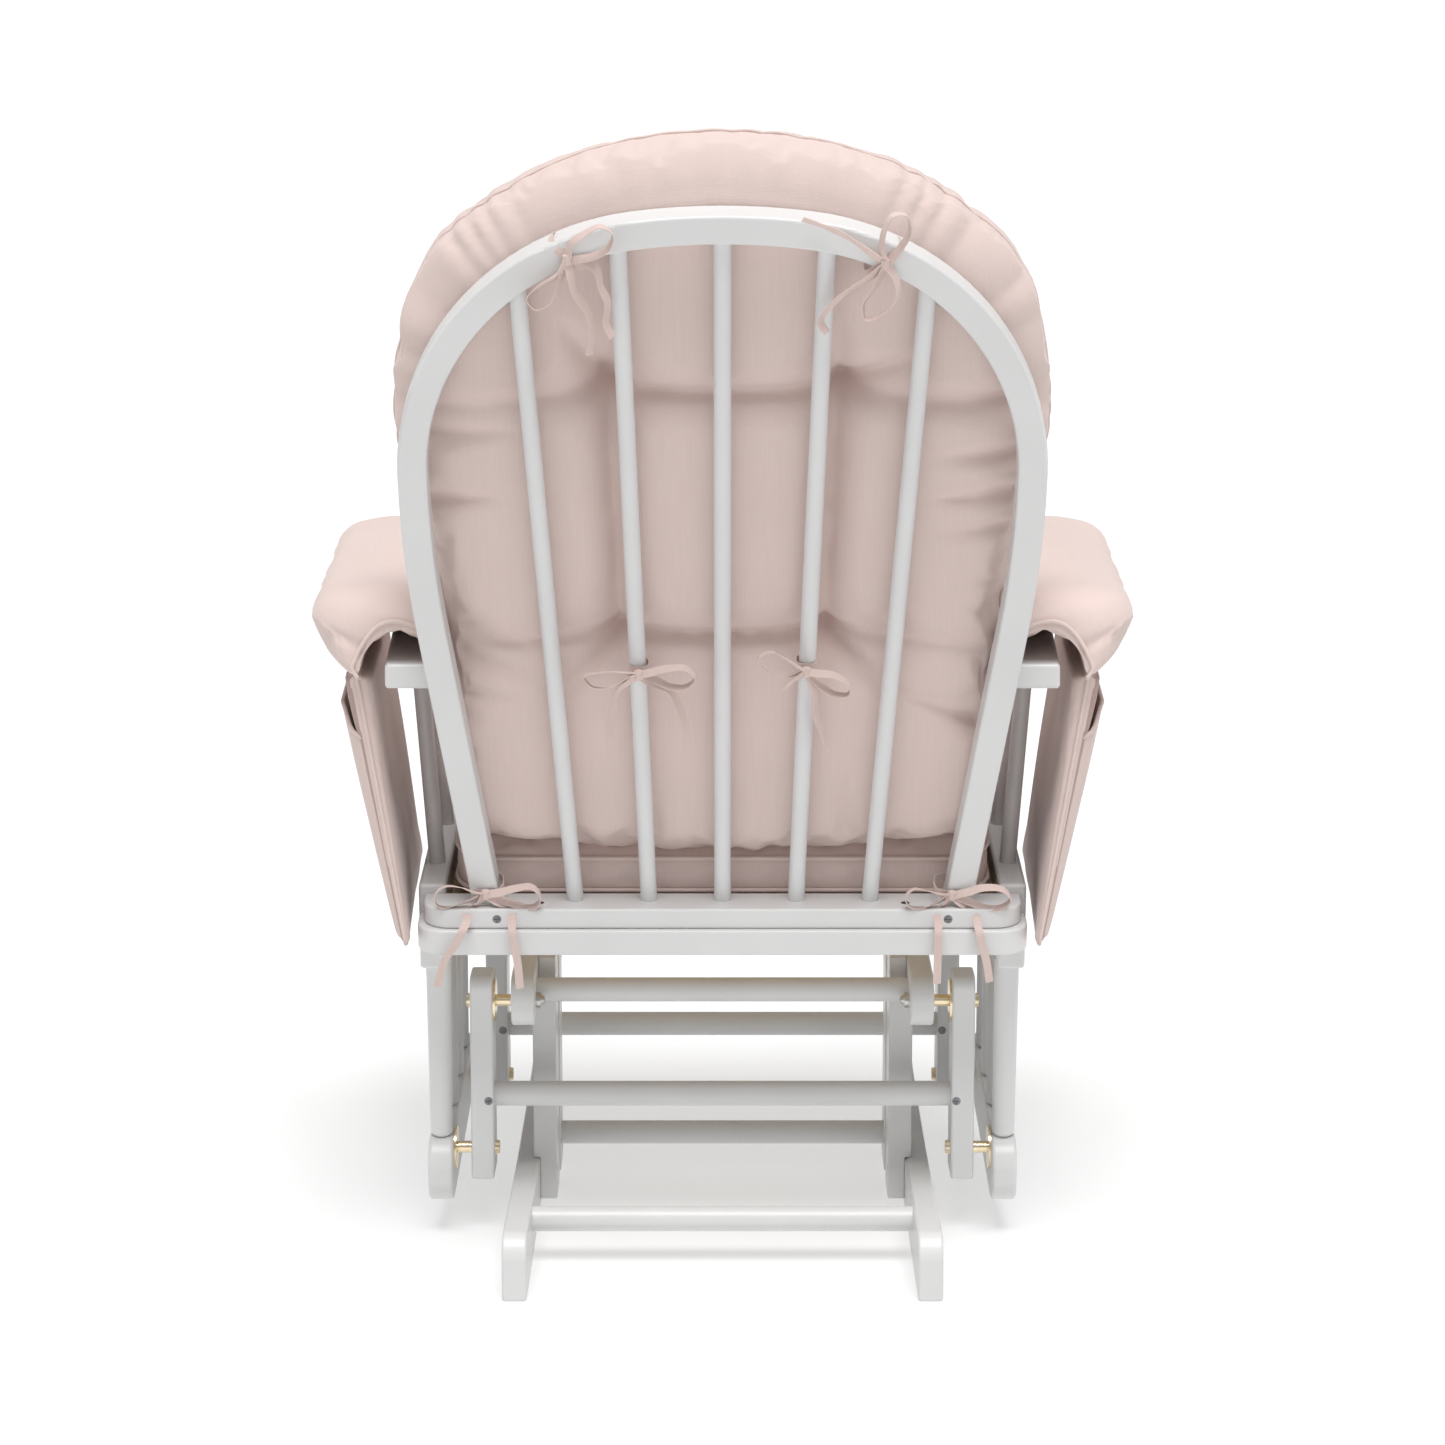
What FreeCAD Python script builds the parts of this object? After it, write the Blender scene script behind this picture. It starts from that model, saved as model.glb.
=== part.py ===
import FreeCAD, Part
import math
import os
import re
import Sketcher
from collections import namedtuple
from FreeCAD import Placement, Rotation, Vector

# Glider nursery chair. A hoop-back seat hangs on four links from a wooden base.
# Millimetres. +Z is up, the sitter faces -Y, and the floor is Z = 0. X is symmetric.
# Side pieces are given by the |X| of their inner face. Lengths named *_y and *_z are places.

SIZES = {
    # Base: two feet, four uprights and two hanger rails.
    "base_mid_y": -48.0,
    "foot_inner": 173.0,
    "foot_thick": 22.0,
    "foot_length": 600.0,
    "foot_height": 58.0,
    "foot_waist": 48.0,
    "foot_corner": 20.0,
    "upright_thick": 22.0,
    "upright_width": 46.0,
    "upright_spacing": 78.0,
    "upright_bottom_z": 8.0,
    "lap_depth": 6.0,
    "lap_gap": 0.4,
    "lap_rise": 1.0,
    "hanger_thick": 22.0,
    "hanger_height": 48.5,
    "hanger_bottom_z": 197.0,
    "hanger_overhang": 28.0,
    "hanger_round": 22.0,
    # Base cross dowels.
    "dowel_diameter": 22.5,
    "dowel_socket": 9.0,
    "upper_dowel_spread": 84.0,
    "upper_dowel_z": 221.0,
    "lower_dowel_z": 39.5,
    "lower_rear_dowel_y": 151.0,
    # Swing links.
    "link_inner": 212.0,
    "link_thick": 21.0,
    "link_width": 46.0,
    "link_above": 28.0,
    "link_below": 24.0,
    "link_round": 12.0,
    "pivot_spacing": 216.0,
    "upper_pivot_z": 218.0,
    "link_reach": 142.0,
    "link_dowel_diameter": 23.0,
    "link_dowel_drop": 90.0,
    # Pivots.
    "bolt_diameter": 8.0,
    "bore_clearance": 0.05,
    "bush_diameter": 14.0,
    "flange_diameter": 40.0,
    "flange_thick": 2.0,
    "collar_diameter": 11.0,
    "head_diameter": 14.0,
    "head_thick": 4.0,
    "head_bevel": 1.0,
    "nut_diameter": 14.0,
    "nut_thick": 9.0,
    "nut_bore_depth": 2.0,
    "side_play": 0.4,
    "pin_end_depth": 15.0,
    "pin_end_gap": 1.0,
    "bore_runout": 1.0,
    # Screws.
    "screw_head": 8.0,
    "screw_head_depth": 2.4,
    "screw_shank": 4.0,
    "screw_length": 24.0,
    "screw_point": 3.0,
    "recess_width": 1.3,
    "recess_span": 5.0,
    "recess_depth": 1.2,
    "rear_screw_x": 201.6,
    "top_screw_x": 164.0,
    "top_screw_inset": 26.0,
    "lap_screw_step": 16.5,
    "lap_screw_rise": 9.0,
    # Seat frame, in its own tilted axes with the origin on the lower rear pivot.
    "seat_tilt": 5.0,
    "lower_rail_gap": 16.5,
    "lower_rail_thick": 23.0,
    "lower_rail_top": 17.0,
    "lower_rail_height": 61.5,
    "lower_rail_overhang": 37.0,
    "lower_rail_round": 24.0,
    "side_rail_inner": 250.0,
    "side_rail_thick": 25.0,
    "side_rail_bottom": 191.7,
    "side_rail_height": 81.7,
    "side_rail_rear": 38.0,
    "side_rail_length": 434.0,
    "side_rail_round": 30.0,
    "post_bottom_diameter": 20.8,
    "post_top_diameter": 22.8,
    "post_first": 9.5,
    "post_pitch": 70.2,
    "post_tenon_diameter": 12.0,
    "post_tenon": 10.0,
    "post_bevel": 3.0,
    "rear_rail_thick": 23.6,
    "rear_rail_depth": 48.0,
    "rear_rail_rise": 31.7,
    "rear_rail_corner": 25.0,
    "rear_rail_inset": 1.0,
    "back_rail_inset": 5.3,
    "back_rail_thick": 18.7,
    "back_rail_depth": 43.0,
    "front_rail_thick": 23.0,
    "front_rail_rise": 8.0,
    "deck_thick": 12.0,
    "deck_top": 248.0,
    "cleat_width": 20.0,
    "cleat_height": 24.0,
    # Hoop and spindles, in the plane of the reclined back.
    "recline": 12.0,
    "hoop_seat_y": 68.3,
    "hoop_foot": 224.0,
    "hoop_half": 274.0,
    "hoop_bend": 270.0,
    "hoop_spring": 425.0,
    "crown_half": 44.0,
    "crown_rise": 3.0,
    "hoop_width": 25.0,
    "hoop_thick": 27.0,
    "hoop_housing": 8.0,
    "spindle_diameter": 14.8,
    "spindle_pitch": 66.3,
    "spindle_spread": 85.0,
    "spindle_spread_height": 600.0,
    "spindle_tenon": 12.0,
    # Arms, level.
    "arm_top_z": 562.0,
    "arm_thick": 22.0,
    "arm_rear_y": 190.0,
    "arm_length": 494.0,
    "arm_rear_inner": 246.0,
    "arm_rear_width": 49.5,
    "arm_front_inner": 256.0,
    "arm_front_width": 64.5,
    "arm_corner": 24.0,
    "arm_post_diameter": 15.0,
    "arm_post_first": -24.0,
    "arm_post_pitch": 108.0,
    "arm_post_tenon": 11.0,
    # Soft parts.
    "soft_gap": 0.4,
    "seat_pad_half": 246.0,
    "seat_pad_rear_thick": 62.0,
    "seat_pad_thick": 87.0,
    "seat_pad_overhang": 6.0,
    "seat_pad_setback": 4.0,
    "seat_pad_slope": 130.0,
    "seat_pad_edge": 22.0,
    "back_pad_thick": 95.0,
    "back_pad_bottom": 46.0,
    "back_pad_foot": 233.0,
    "back_pad_waist": 244.0,
    "back_pad_waist_height": 250.0,
    "back_pad_half": 283.0,
    "back_pad_spring": 430.0,
    "back_pad_crown_half": 33.0,
    "back_pad_crown_rise": 22.0,
    "arm_pad_thick": 58.0,
    "arm_pad_overhang": 60.0,
    "arm_pad_setback": 2.0,
    "arm_pad_inner_rear": 252.0,
    "arm_pad_inner_front": 242.0,
    "arm_pad_skirt": 38.0,
    "arm_pad_drop": 14.0,
    "arm_pad_length": 478.0,
    "arm_pad_edge": 16.0,
    "pocket_top_inner": 309.0,
    "pocket_top_thick": 27.0,
    "pocket_foot_inner": 277.0,
    "pocket_foot_thick": 11.0,
    "pocket_foot_z": 300.0,
    "pocket_length": 330.0,
    "pocket_rear_y": 168.0,
    # Ribbon ties.
    "ribbon_width": 7.5,
    "ribbon_thick": 3.0,
    "bow_span": 98.0,
    "knot_size": 10.0,
    "tail_length": 78.0,
    "tail_spread": 34.0,
    "upper_tie_x": 128.0,
    "upper_tie_rise": 10.0,
    "middle_tie_x": 72.0,
    "middle_tie_height": 232.0,
    "lower_tie_x": 206.0,
    "lower_tie_clear": 6.0,
    "lower_tie_rise": 14.0,
    # Rounding of sawn edges.
    "board_edge": 2.5,
    "rail_edge": 3.5,
}

POSTS_PER_SIDE = 4
SPINDLES_PER_SIDE = 2
HALVINGS = 60
FAN_PASSES = 20
NEAR = 1.0
TOUCH = 0.1
SIDES = {"left": 1, "right": -1}
ROWS = {"rear": 1, "front": -1}
OUT_LEFT = Rotation(Vector(0, 1, 0), 90)
OUT_RIGHT = Rotation(Vector(0, 1, 0), -90)

doc = FreeCAD.newDocument("GliderChair")
sheet = doc.addObject("Spreadsheet::Sheet", "Sizes")
for row, (alias, number) in enumerate(SIZES.items(), start=1):
    sheet.set(f"A{row}", alias)
    sheet.set(f"B{row}", str(number))
    sheet.setAlias(f"B{row}", alias)
doc.recompute()

parts = {}


# ---------------------------------------------------------------- reading the sheet

def mm(alias):
    """One size from the sheet."""
    return float(sheet.get(alias))


def bind(text):
    """An expression written with bare aliases, made to read them from the sheet."""
    return re.sub(r"\b[a-z]\w+", r"Sizes.\g<0>", text)


def value(text):
    """What such an expression comes to."""
    return float(sheet.evalExpression(bind(text)))


# ---------------------------------------------------------------- features

def new_body(label, frame):
    body = doc.addObject("PartDesign::Body", label)
    body.Placement = frame
    return body


def new_sketch(body, role, offset="0"):
    plane = next(item for item in body.Origin.OriginFeatures if item.Role == role)
    sketch = body.newObject("Sketcher::SketchObject", "Outline")
    sketch.AttachmentSupport = [(plane, "")]
    sketch.MapMode = "FlatFace"
    sketch.setExpression("AttachmentOffset.Base.z", bind(offset))
    return sketch


def polygon(sketch, corners):
    """A closed outline whose corners are pairs of expressions."""
    points = [Vector(value(right), value(up), 0) for right, up in corners]
    count = len(points)
    for index, point in enumerate(points):
        sketch.addGeometry(Part.LineSegment(point, points[(index + 1) % count]))
    for index in range(count):
        sketch.addConstraint(Sketcher.Constraint("Coincident", index, 2, (index + 1) % count, 1))
    for index, (right, up) in enumerate(corners):
        for kind, text, number in (("DistanceX", right, points[index].x),
                                   ("DistanceY", up, points[index].y)):
            rule = Sketcher.Constraint(kind, -1, 1, index, 1, number)
            place = sketch.addConstraint(rule)
            sketch.setExpression(f"Constraints[{place}]", bind(text))


def pad(body, sketch, length):
    feature = body.newObject("PartDesign::Pad", "Pad")
    feature.Profile = sketch
    feature.setExpression("Length", bind(length))
    return feature


def fillet(body, feature, radius, chosen):
    """Rounds the edges of the feature for which chosen(edge) holds."""
    doc.recompute()
    names = [f"Edge{number}" for number, edge in enumerate(feature.Shape.Edges, start=1)
             if chosen(edge)]
    rounded = body.newObject("PartDesign::Fillet", "Rounding")
    rounded.Base = (feature, names)
    rounded.setExpression("Radius", bind(radius))
    return rounded


def soften(body, feature, radius):
    """Eases every edge of the feature."""
    doc.recompute()
    eased = body.newObject("PartDesign::Fillet", "Easing")
    eased.Base = (feature, ["Edge1"])
    eased.UseAllEdges = True
    eased.setExpression("Radius", bind(radius))
    return eased


def runs_along(edge, axis):
    """Whether an edge is straight and parallel to an axis."""
    if edge.Curve.TypeId != "Part::GeomLine":
        return False
    return abs(abs(edge.Curve.Direction.dot(axis)) - 1) < 1e-6


def keep(label, item):
    """Names a finished sub-part."""
    item.Label = label
    parts[label] = item
    return item


def bored(label, blank, tools):
    """The blank with a socket or hole for each piece that fits into it."""
    blank.Label = label + "_blank"
    group = doc.addObject("Part::Compound", label + "_fits")
    group.Links = tools
    cut = doc.addObject("Part::Cut", label + "_part")
    cut.Base = blank
    cut.Tool = group
    return keep(label, cut)


def group_of(label, items):
    """Identical pieces that share one node."""
    group = doc.addObject("Part::Compound", label + "_group")
    group.Links = items
    return keep(label, group)


def rod(name, start, end, diameter):
    """A round bar between two points."""
    bar = doc.addObject("Part::Cylinder", name)
    bar.setExpression("Radius", bind(f"{diameter} / 2"))
    bar.Height = (end - start).Length
    bar.Placement = Placement(start, Rotation(Vector(0, 0, 1), end - start))
    return bar


def turned(name, profile, frame):
    """A piece turned about its own Z axis. The profile has pairs (radius, height)."""
    body = new_body(name, frame)
    sketch = new_sketch(body, "XZ_Plane")
    polygon(sketch, profile)
    turn = body.newObject("PartDesign::Revolution", "Turning")
    turn.Profile = sketch
    turn.ReferenceAxis = (sketch, ["V_Axis"])
    turn.Angle = 360
    return body


# ---------------------------------------------------------------- frames of reference

LOWER_PIVOT = "(upper_pivot_z - link_reach)"
LINK_OUTER = "(link_inner + link_thick)"
LOWER_RAIL_INNER = f"({LINK_OUTER} + lower_rail_gap)"
RAIL_TOP = "(side_rail_bottom + side_rail_height)"
BACK_RAIL_TOP = "(side_rail_bottom + rear_rail_rise + rear_rail_thick + back_rail_thick)"
WORLD = Placement()
rear_pivot_y = mm("base_mid_y") + mm("pivot_spacing") / 2
lower_pivot_z = value(LOWER_PIVOT)
back_rail_top = value(BACK_RAIL_TOP)
SEAT = Placement(Vector(0, rear_pivot_y, lower_pivot_z),
                 Rotation(Vector(1, 0, 0), -mm("seat_tilt")))
BACK = SEAT * Placement(Vector(0, mm("hoop_seat_y"), back_rail_top),
                        Rotation(Vector(1, 0, 0), -mm("recline")))


def pivot_y(row):
    """Y of one row of pivots."""
    return mm("base_mid_y") + ROWS[row] * mm("pivot_spacing") / 2


def at_x(place_x, place_y, place_z):
    """A frame whose Z axis points outwards along X, away from the middle of the chair."""
    return Placement(Vector(place_x, place_y, place_z), OUT_LEFT if place_x > 0 else OUT_RIGHT)


# ---------------------------------------------------------------- boards

def side_board(label, side, inner, thick, corners, frame):
    """A board in the YZ plane, on the left (side 1) or right (side -1)."""
    body = new_body(label, frame)
    offset = inner if side > 0 else f"-({inner} + {thick})"
    sketch = new_sketch(body, "YZ_Plane", offset)
    polygon(sketch, corners)
    return body, pad(body, sketch, thick)


def rectangle(low_across, high_across, low_up, high_up):
    return [(low_across, low_up), (high_across, low_up), (high_across, high_up), (low_across, high_up)]


def across(edge):
    return runs_along(edge, Vector(1, 0, 0))


def upright_edge(edge):
    return runs_along(edge, Vector(0, 0, 1))


def foot(label, side):
    """A long foot with rounded upper corners and a hollowed top."""
    half = "foot_length / 2"
    corners = rectangle(f"base_mid_y - {half}", f"base_mid_y + {half}", "0", "foot_height")
    body, board = side_board(label, side, "foot_inner", "foot_thick", corners, WORLD)
    top = mm("foot_height")
    fillet(body, board, "foot_corner", lambda edge: across(edge) and edge.CenterOfMass.z > top - NEAR)
    hollow = new_sketch(body, "YZ_Plane")
    sag = mm("foot_height") - mm("foot_waist")
    span = mm("foot_length") / 2 - mm("foot_corner")
    radius = (span ** 2 + sag ** 2) / (2 * sag)
    centre = Vector(mm("base_mid_y"), mm("foot_waist") + radius, 0)
    hollow.addGeometry(Part.Circle(centre, Vector(0, 0, 1), radius))
    trim = body.newObject("PartDesign::Pocket", "Hollow")
    trim.Profile = hollow
    trim.Type = "ThroughAll"
    trim.Midplane = True
    soften(body, trim, "board_edge")
    return body


def upright(label, side, row):
    """An upright lapped onto the inside of the foot and of the hanger rail."""
    body = new_body(label, WORLD)
    middle = f"(base_mid_y + {ROWS[row]} * upright_spacing / 2)"
    sketch = new_sketch(body, "XZ_Plane", f"-({middle} + upright_width / 2)")
    inner = "foot_inner - upright_thick + lap_depth"
    outer = "foot_inner + lap_depth"
    hanger_top = "hanger_bottom_z + hanger_height"
    profile = [(inner, "upright_bottom_z"), ("foot_inner", "upright_bottom_z"),
               ("foot_inner", "foot_waist + lap_rise"), (outer, "foot_waist + lap_rise"),
               (outer, "hanger_bottom_z - lap_gap"), ("foot_inner", "hanger_bottom_z - lap_gap"),
               ("foot_inner", hanger_top), (inner, hanger_top)]
    sign = "" if side > 0 else "-"
    polygon(sketch, [(f"{sign}({x})", z) for x, z in profile])
    board = pad(body, sketch, "upright_width")
    soften(body, board, "board_edge / 2")
    return body


def hanger_rail(label, side):
    """A short rail with round ends that carries the upper pivots."""
    half = "(pivot_spacing / 2 + hanger_overhang)"
    corners = rectangle(f"base_mid_y - {half}", f"base_mid_y + {half}",
                        "hanger_bottom_z", "hanger_bottom_z + hanger_height")
    body, board = side_board(label, side, "foot_inner", "hanger_thick", corners, WORLD)
    rounded = fillet(body, board, "hanger_round", across)
    soften(body, rounded, "board_edge")
    return body


def swing_link(label, side, row):
    """A hanging link with an eased top."""
    middle = f"(base_mid_y + {ROWS[row]} * pivot_spacing / 2)"
    corners = rectangle(f"{middle} - link_width / 2", f"{middle} + link_width / 2",
                        f"{LOWER_PIVOT} - link_below", "upper_pivot_z + link_above")
    body, board = side_board(label, side, "link_inner", "link_thick", corners, WORLD)
    pivot = mm("upper_pivot_z")
    rounded = fillet(body, board, "link_round",
                     lambda edge: across(edge) and edge.CenterOfMass.z > pivot)
    soften(body, rounded, "board_edge")
    return body


def seat_board(label, side, inner, thick, corners, corner_radius, chosen):
    """A rounded board of the seat frame."""
    body, board = side_board(label, side, inner, thick, corners, SEAT)
    rounded = fillet(body, board, corner_radius, chosen)
    soften(body, rounded, "rail_edge")
    return body


def lower_rail(label, side):
    far = "-(pivot_spacing + lower_rail_overhang)"
    corners = rectangle(far, "lower_rail_overhang", "lower_rail_top - lower_rail_height",
                        "lower_rail_top")
    return seat_board(label, side, LOWER_RAIL_INNER, "lower_rail_thick", corners,
                      "lower_rail_round", across)


def side_rail(label, side):
    corners = rectangle("side_rail_rear - side_rail_length", "side_rail_rear",
                        "side_rail_bottom", RAIL_TOP)
    front_bottom = mm("side_rail_rear") - mm("side_rail_length")
    return seat_board(label, side, "side_rail_inner", "side_rail_thick", corners, "side_rail_round",
                      lambda edge: across(edge) and edge.CenterOfMass.y < front_bottom + NEAR
                      and edge.CenterOfMass.z < mm("side_rail_bottom") + NEAR)


def flat_board(label, half, rear, depth, bottom, thick, corner_radius, frame):
    """A board lying across the seat frame, with its two rear corners rounded."""
    body = new_body(label, frame)
    sketch = new_sketch(body, "XY_Plane", bottom)
    polygon(sketch, rectangle(f"-({half})", half, f"{rear} - ({depth})", rear))
    board = pad(body, sketch, thick)
    if corner_radius:
        edge_y = value(rear)
        board = fillet(body, board, corner_radius,
                       lambda edge: upright_edge(edge) and edge.CenterOfMass.y > edge_y - NEAR)
    soften(body, board, "board_edge")
    return body


# ---------------------------------------------------------------- hoop outline

def leg_angle(foot_half, half, bend, spring):
    """The lean of a straight leg that an arc then brings upright at the spring line."""
    low = 0.0
    high = math.radians(80)
    for _ in range(HALVINGS):
        lean = (low + high) / 2
        reach = bend * math.tan(lean) + (spring - bend) * math.tan(lean / 2)
        if reach < half - foot_half:
            low = lean
        else:
            high = lean
    return lean


def arch(foot_half, half, bend, spring, crown_half, crown_rise, inset, bottom):
    """One edge of a hoop as points with arc midpoints, from the left foot over to the crown.

    The straight leg meets a leg arc, a shoulder arc and a crown arc, all tangent. Inset moves
    the whole edge inwards.
    """
    lean = leg_angle(foot_half, half, bend, spring)
    leg_radius = (spring - bend) / math.sin(lean)
    shoulder_radius = half - crown_half
    rise = shoulder_radius + crown_rise
    crown_radius = crown_half ** 2 / (2 * crown_rise) + (rise + shoulder_radius) / 2

    def on_circle(centre_x, centre_z, radius, angle):
        return Vector(centre_x + radius * math.cos(angle), centre_z + radius * math.sin(angle), 0)

    leg = (half - leg_radius, spring, leg_radius - inset)
    shoulder = (crown_half, spring, shoulder_radius - inset)
    crown = (0.0, spring + rise - crown_radius, crown_radius - inset)
    meeting = math.atan2(shoulder[1] - crown[1], shoulder[0] - crown[0])
    bend_point = on_circle(*leg, -lean)
    drop = bend_point.y - bottom
    return {
        "foot": Vector(bend_point.x - drop * math.tan(lean), bottom, 0),
        "bend": bend_point,
        "leg_middle": on_circle(*leg, -lean / 2),
        "spring": on_circle(*leg, 0),
        "shoulder_middle": on_circle(*shoulder, meeting / 2),
        "shoulder": on_circle(*shoulder, meeting),
        "crown": Vector(0, crown[1] + crown[2], 0),
    }


def mirrored(point):
    return Vector(-point.x, point.y, 0)


def edge_curves(edge):
    """The curves of one hoop edge, from the left foot to the right foot."""
    return [
        Part.LineSegment(edge["foot"], edge["bend"]),
        Part.Arc(edge["bend"], edge["leg_middle"], edge["spring"]),
        Part.Arc(edge["spring"], edge["shoulder_middle"], edge["shoulder"]),
        Part.Arc(edge["shoulder"], edge["crown"], mirrored(edge["shoulder"])),
        Part.Arc(mirrored(edge["shoulder"]), mirrored(edge["shoulder_middle"]),
                 mirrored(edge["spring"])),
        Part.Arc(mirrored(edge["spring"]), mirrored(edge["leg_middle"]), mirrored(edge["bend"])),
        Part.LineSegment(mirrored(edge["bend"]), mirrored(edge["foot"])),
    ]


def hoop_edge(inset, bottom):
    return arch(mm("hoop_foot"), mm("hoop_half"), mm("hoop_bend"), mm("hoop_spring"),
                mm("crown_half"), mm("crown_rise"), inset, bottom)


def hoop_blank():
    """The bent hoop before its spindle sockets are bored."""
    body = new_body("hoop_blank", BACK)
    sketch = new_sketch(body, "XZ_Plane")
    outer = hoop_edge(0, -mm("hoop_housing"))
    inner = hoop_edge(mm("hoop_width"), -mm("hoop_housing"))
    curves = edge_curves(outer) + edge_curves(inner)
    curves.append(Part.LineSegment(outer["foot"], inner["foot"]))
    curves.append(Part.LineSegment(mirrored(outer["foot"]), mirrored(inner["foot"])))
    for curve in curves:
        sketch.addGeometry(curve)
    board = pad(body, sketch, "hoop_thick")
    soften(body, board, "board_edge")
    return body


def height_inside_hoop(place_x):
    """How high the hoop's inner edge stands above one point of the back rail."""
    inset = mm("hoop_width")
    shoulder_radius = mm("hoop_half") - mm("crown_half")
    rise = shoulder_radius + mm("crown_rise")
    crown_radius = mm("crown_half") ** 2 / (2 * mm("crown_rise")) + (rise + shoulder_radius) / 2
    joint = hoop_edge(inset, 0)["shoulder"].x
    if abs(place_x) < joint:
        centre_z = mm("hoop_spring") + rise - crown_radius
        return centre_z + math.sqrt((crown_radius - inset) ** 2 - place_x ** 2)
    across_shoulder = abs(place_x) - mm("crown_half")
    return mm("hoop_spring") + math.sqrt((shoulder_radius - inset) ** 2 - across_shoulder ** 2)


def spindle(index):
    """A spindle that fans out from the back rail to the hoop, socketed at both ends."""
    lean = index * (mm("spindle_spread") - mm("spindle_pitch")) / mm("spindle_spread_height")
    start_x = index * mm("spindle_pitch")
    top = height_inside_hoop(start_x)
    for _ in range(FAN_PASSES):
        top = height_inside_hoop(start_x + lean * top)
    middle_y = -mm("hoop_thick") / 2
    low = -mm("spindle_tenon")
    high = top + mm("spindle_tenon")
    start = BACK.multVec(Vector(start_x + lean * low, middle_y, low))
    end = BACK.multVec(Vector(start_x + lean * high, middle_y, high))
    return rod(f"spindle_{index + SPINDLES_PER_SIDE + 1}", start, end, "spindle_diameter")


# ---------------------------------------------------------------- fasteners

SCREW_PROFILE = [("0", "0"), ("screw_head / 2", "0"), ("screw_shank / 2", "-screw_head_depth"),
                 ("screw_shank / 2", "screw_point - screw_length"), ("0", "-screw_length")]


def screw(name, frame):
    """A countersunk cross-head screw whose head is flush with the frame's XY plane, going down."""
    body = turned(name, SCREW_PROFILE, frame)
    for long_side, short_side in (("recess_span", "recess_width"), ("recess_width", "recess_span")):
        sketch = new_sketch(body, "XY_Plane")
        polygon(sketch, rectangle(f"-{long_side} / 2", f"{long_side} / 2",
                                  f"-{short_side} / 2", f"{short_side} / 2"))
        slot = body.newObject("PartDesign::Pocket", "Slot")
        slot.Profile = sketch
        slot.setExpression("Length", bind("recess_depth"))
    return body


def screw_to(name, place, direction, frame=WORLD):
    """A screw driven at a place of a frame in a direction of that frame, and the hole it fills."""
    turn = Rotation(Vector(0, 0, -1), direction)
    seat = frame * Placement(place, turn)
    return screw(name, seat), turned(name + "_hole", SCREW_PROFILE, seat)


def hanger_bolt(name, side, row):
    """The bolt and spacer that a link hangs on, headed outside the link."""
    start = mm("foot_inner") - mm("nut_bore_depth")
    frame = at_x(side * start, pivot_y(row), mm("upper_pivot_z"))
    rail_outer = "(foot_inner + hanger_thick)"
    begin = "(foot_inner - nut_bore_depth)"
    head = f"({LINK_OUTER} + side_play - {begin})"
    collar_end = f"(link_inner - flange_thick - side_play - {begin})"
    profile = [("0", "0"), ("bolt_diameter / 2", "0"),
               ("bolt_diameter / 2", f"{rail_outer} - {begin}"),
               ("collar_diameter / 2", f"{rail_outer} - {begin}"), ("collar_diameter / 2", collar_end),
               ("bolt_diameter / 2", collar_end), ("bolt_diameter / 2", head),
               ("head_diameter / 2", head), ("head_diameter / 2 - head_bevel", f"{head} + head_thick"),
               ("0", f"{head} + head_thick")]
    return turned(name, profile, frame)


def nut(name, side, row):
    """A domed nut on the inside of the hanger rail."""
    frame = at_x(side * mm("foot_inner"), pivot_y(row), mm("upper_pivot_z"))
    profile = [("bolt_diameter / 2", "0"), ("bolt_diameter / 2", "-nut_bore_depth"),
               ("0", "-nut_bore_depth"), ("0", "-nut_thick"),
               ("nut_diameter / 4", "head_bevel - nut_thick"),
               ("nut_diameter / 2 - head_bevel", "-nut_thick / 2"),
               ("nut_diameter / 2", "-nut_thick / 2"),
               ("nut_diameter / 2", "0")]
    return turned(name, profile, frame)


def bush(name, frame, depth):
    """A flanged bush: the flange lies on the board and the barrel runs into it."""
    bore = "(bolt_diameter / 2 + bore_clearance)"
    profile = [(bore, "-flange_thick"), ("flange_diameter / 2", "-flange_thick"),
               ("flange_diameter / 2", "0"), ("bush_diameter / 2", "0"),
               ("bush_diameter / 2", depth), (bore, depth)]
    return turned(name, profile, frame)


def swing_pin(name, side, row):
    """The lower pivot pin, fixed in a link and turning in the lower rail's bush."""
    frame = at_x(side * mm("link_inner"), pivot_y(row), lower_pivot_z)
    collar_end = "(link_thick + lower_rail_gap - flange_thick - side_play)"
    tip = "(link_thick + lower_rail_gap + pin_end_depth - pin_end_gap)"
    profile = [("0", "-head_thick"), ("head_diameter / 2 - head_bevel", "-head_thick"),
               ("head_diameter / 2", "0"), ("bolt_diameter / 2", "0"),
               ("bolt_diameter / 2", "link_thick"), ("collar_diameter / 2", "link_thick"),
               ("collar_diameter / 2", collar_end), ("bolt_diameter / 2", collar_end),
               ("bolt_diameter / 2", tip), ("0", tip)]
    return turned(name, profile, frame)


# ---------------------------------------------------------------- base

LapScrew = namedtuple("LapScrew", "side row level fixing hole")


def dowel_rod(name, half, place_y, place_z, diameter):
    """A dowel between two boards, let into each by the socket depth."""
    reach = half + mm("dowel_socket")
    return rod(name, Vector(-reach, place_y, place_z), Vector(reach, place_y, place_z), diameter)


def cross_dowel(name, half, place_y, place_z):
    """A dowel of the base."""
    return keep(name, dowel_rod(name, half, place_y, place_z, "dowel_diameter"))


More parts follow.
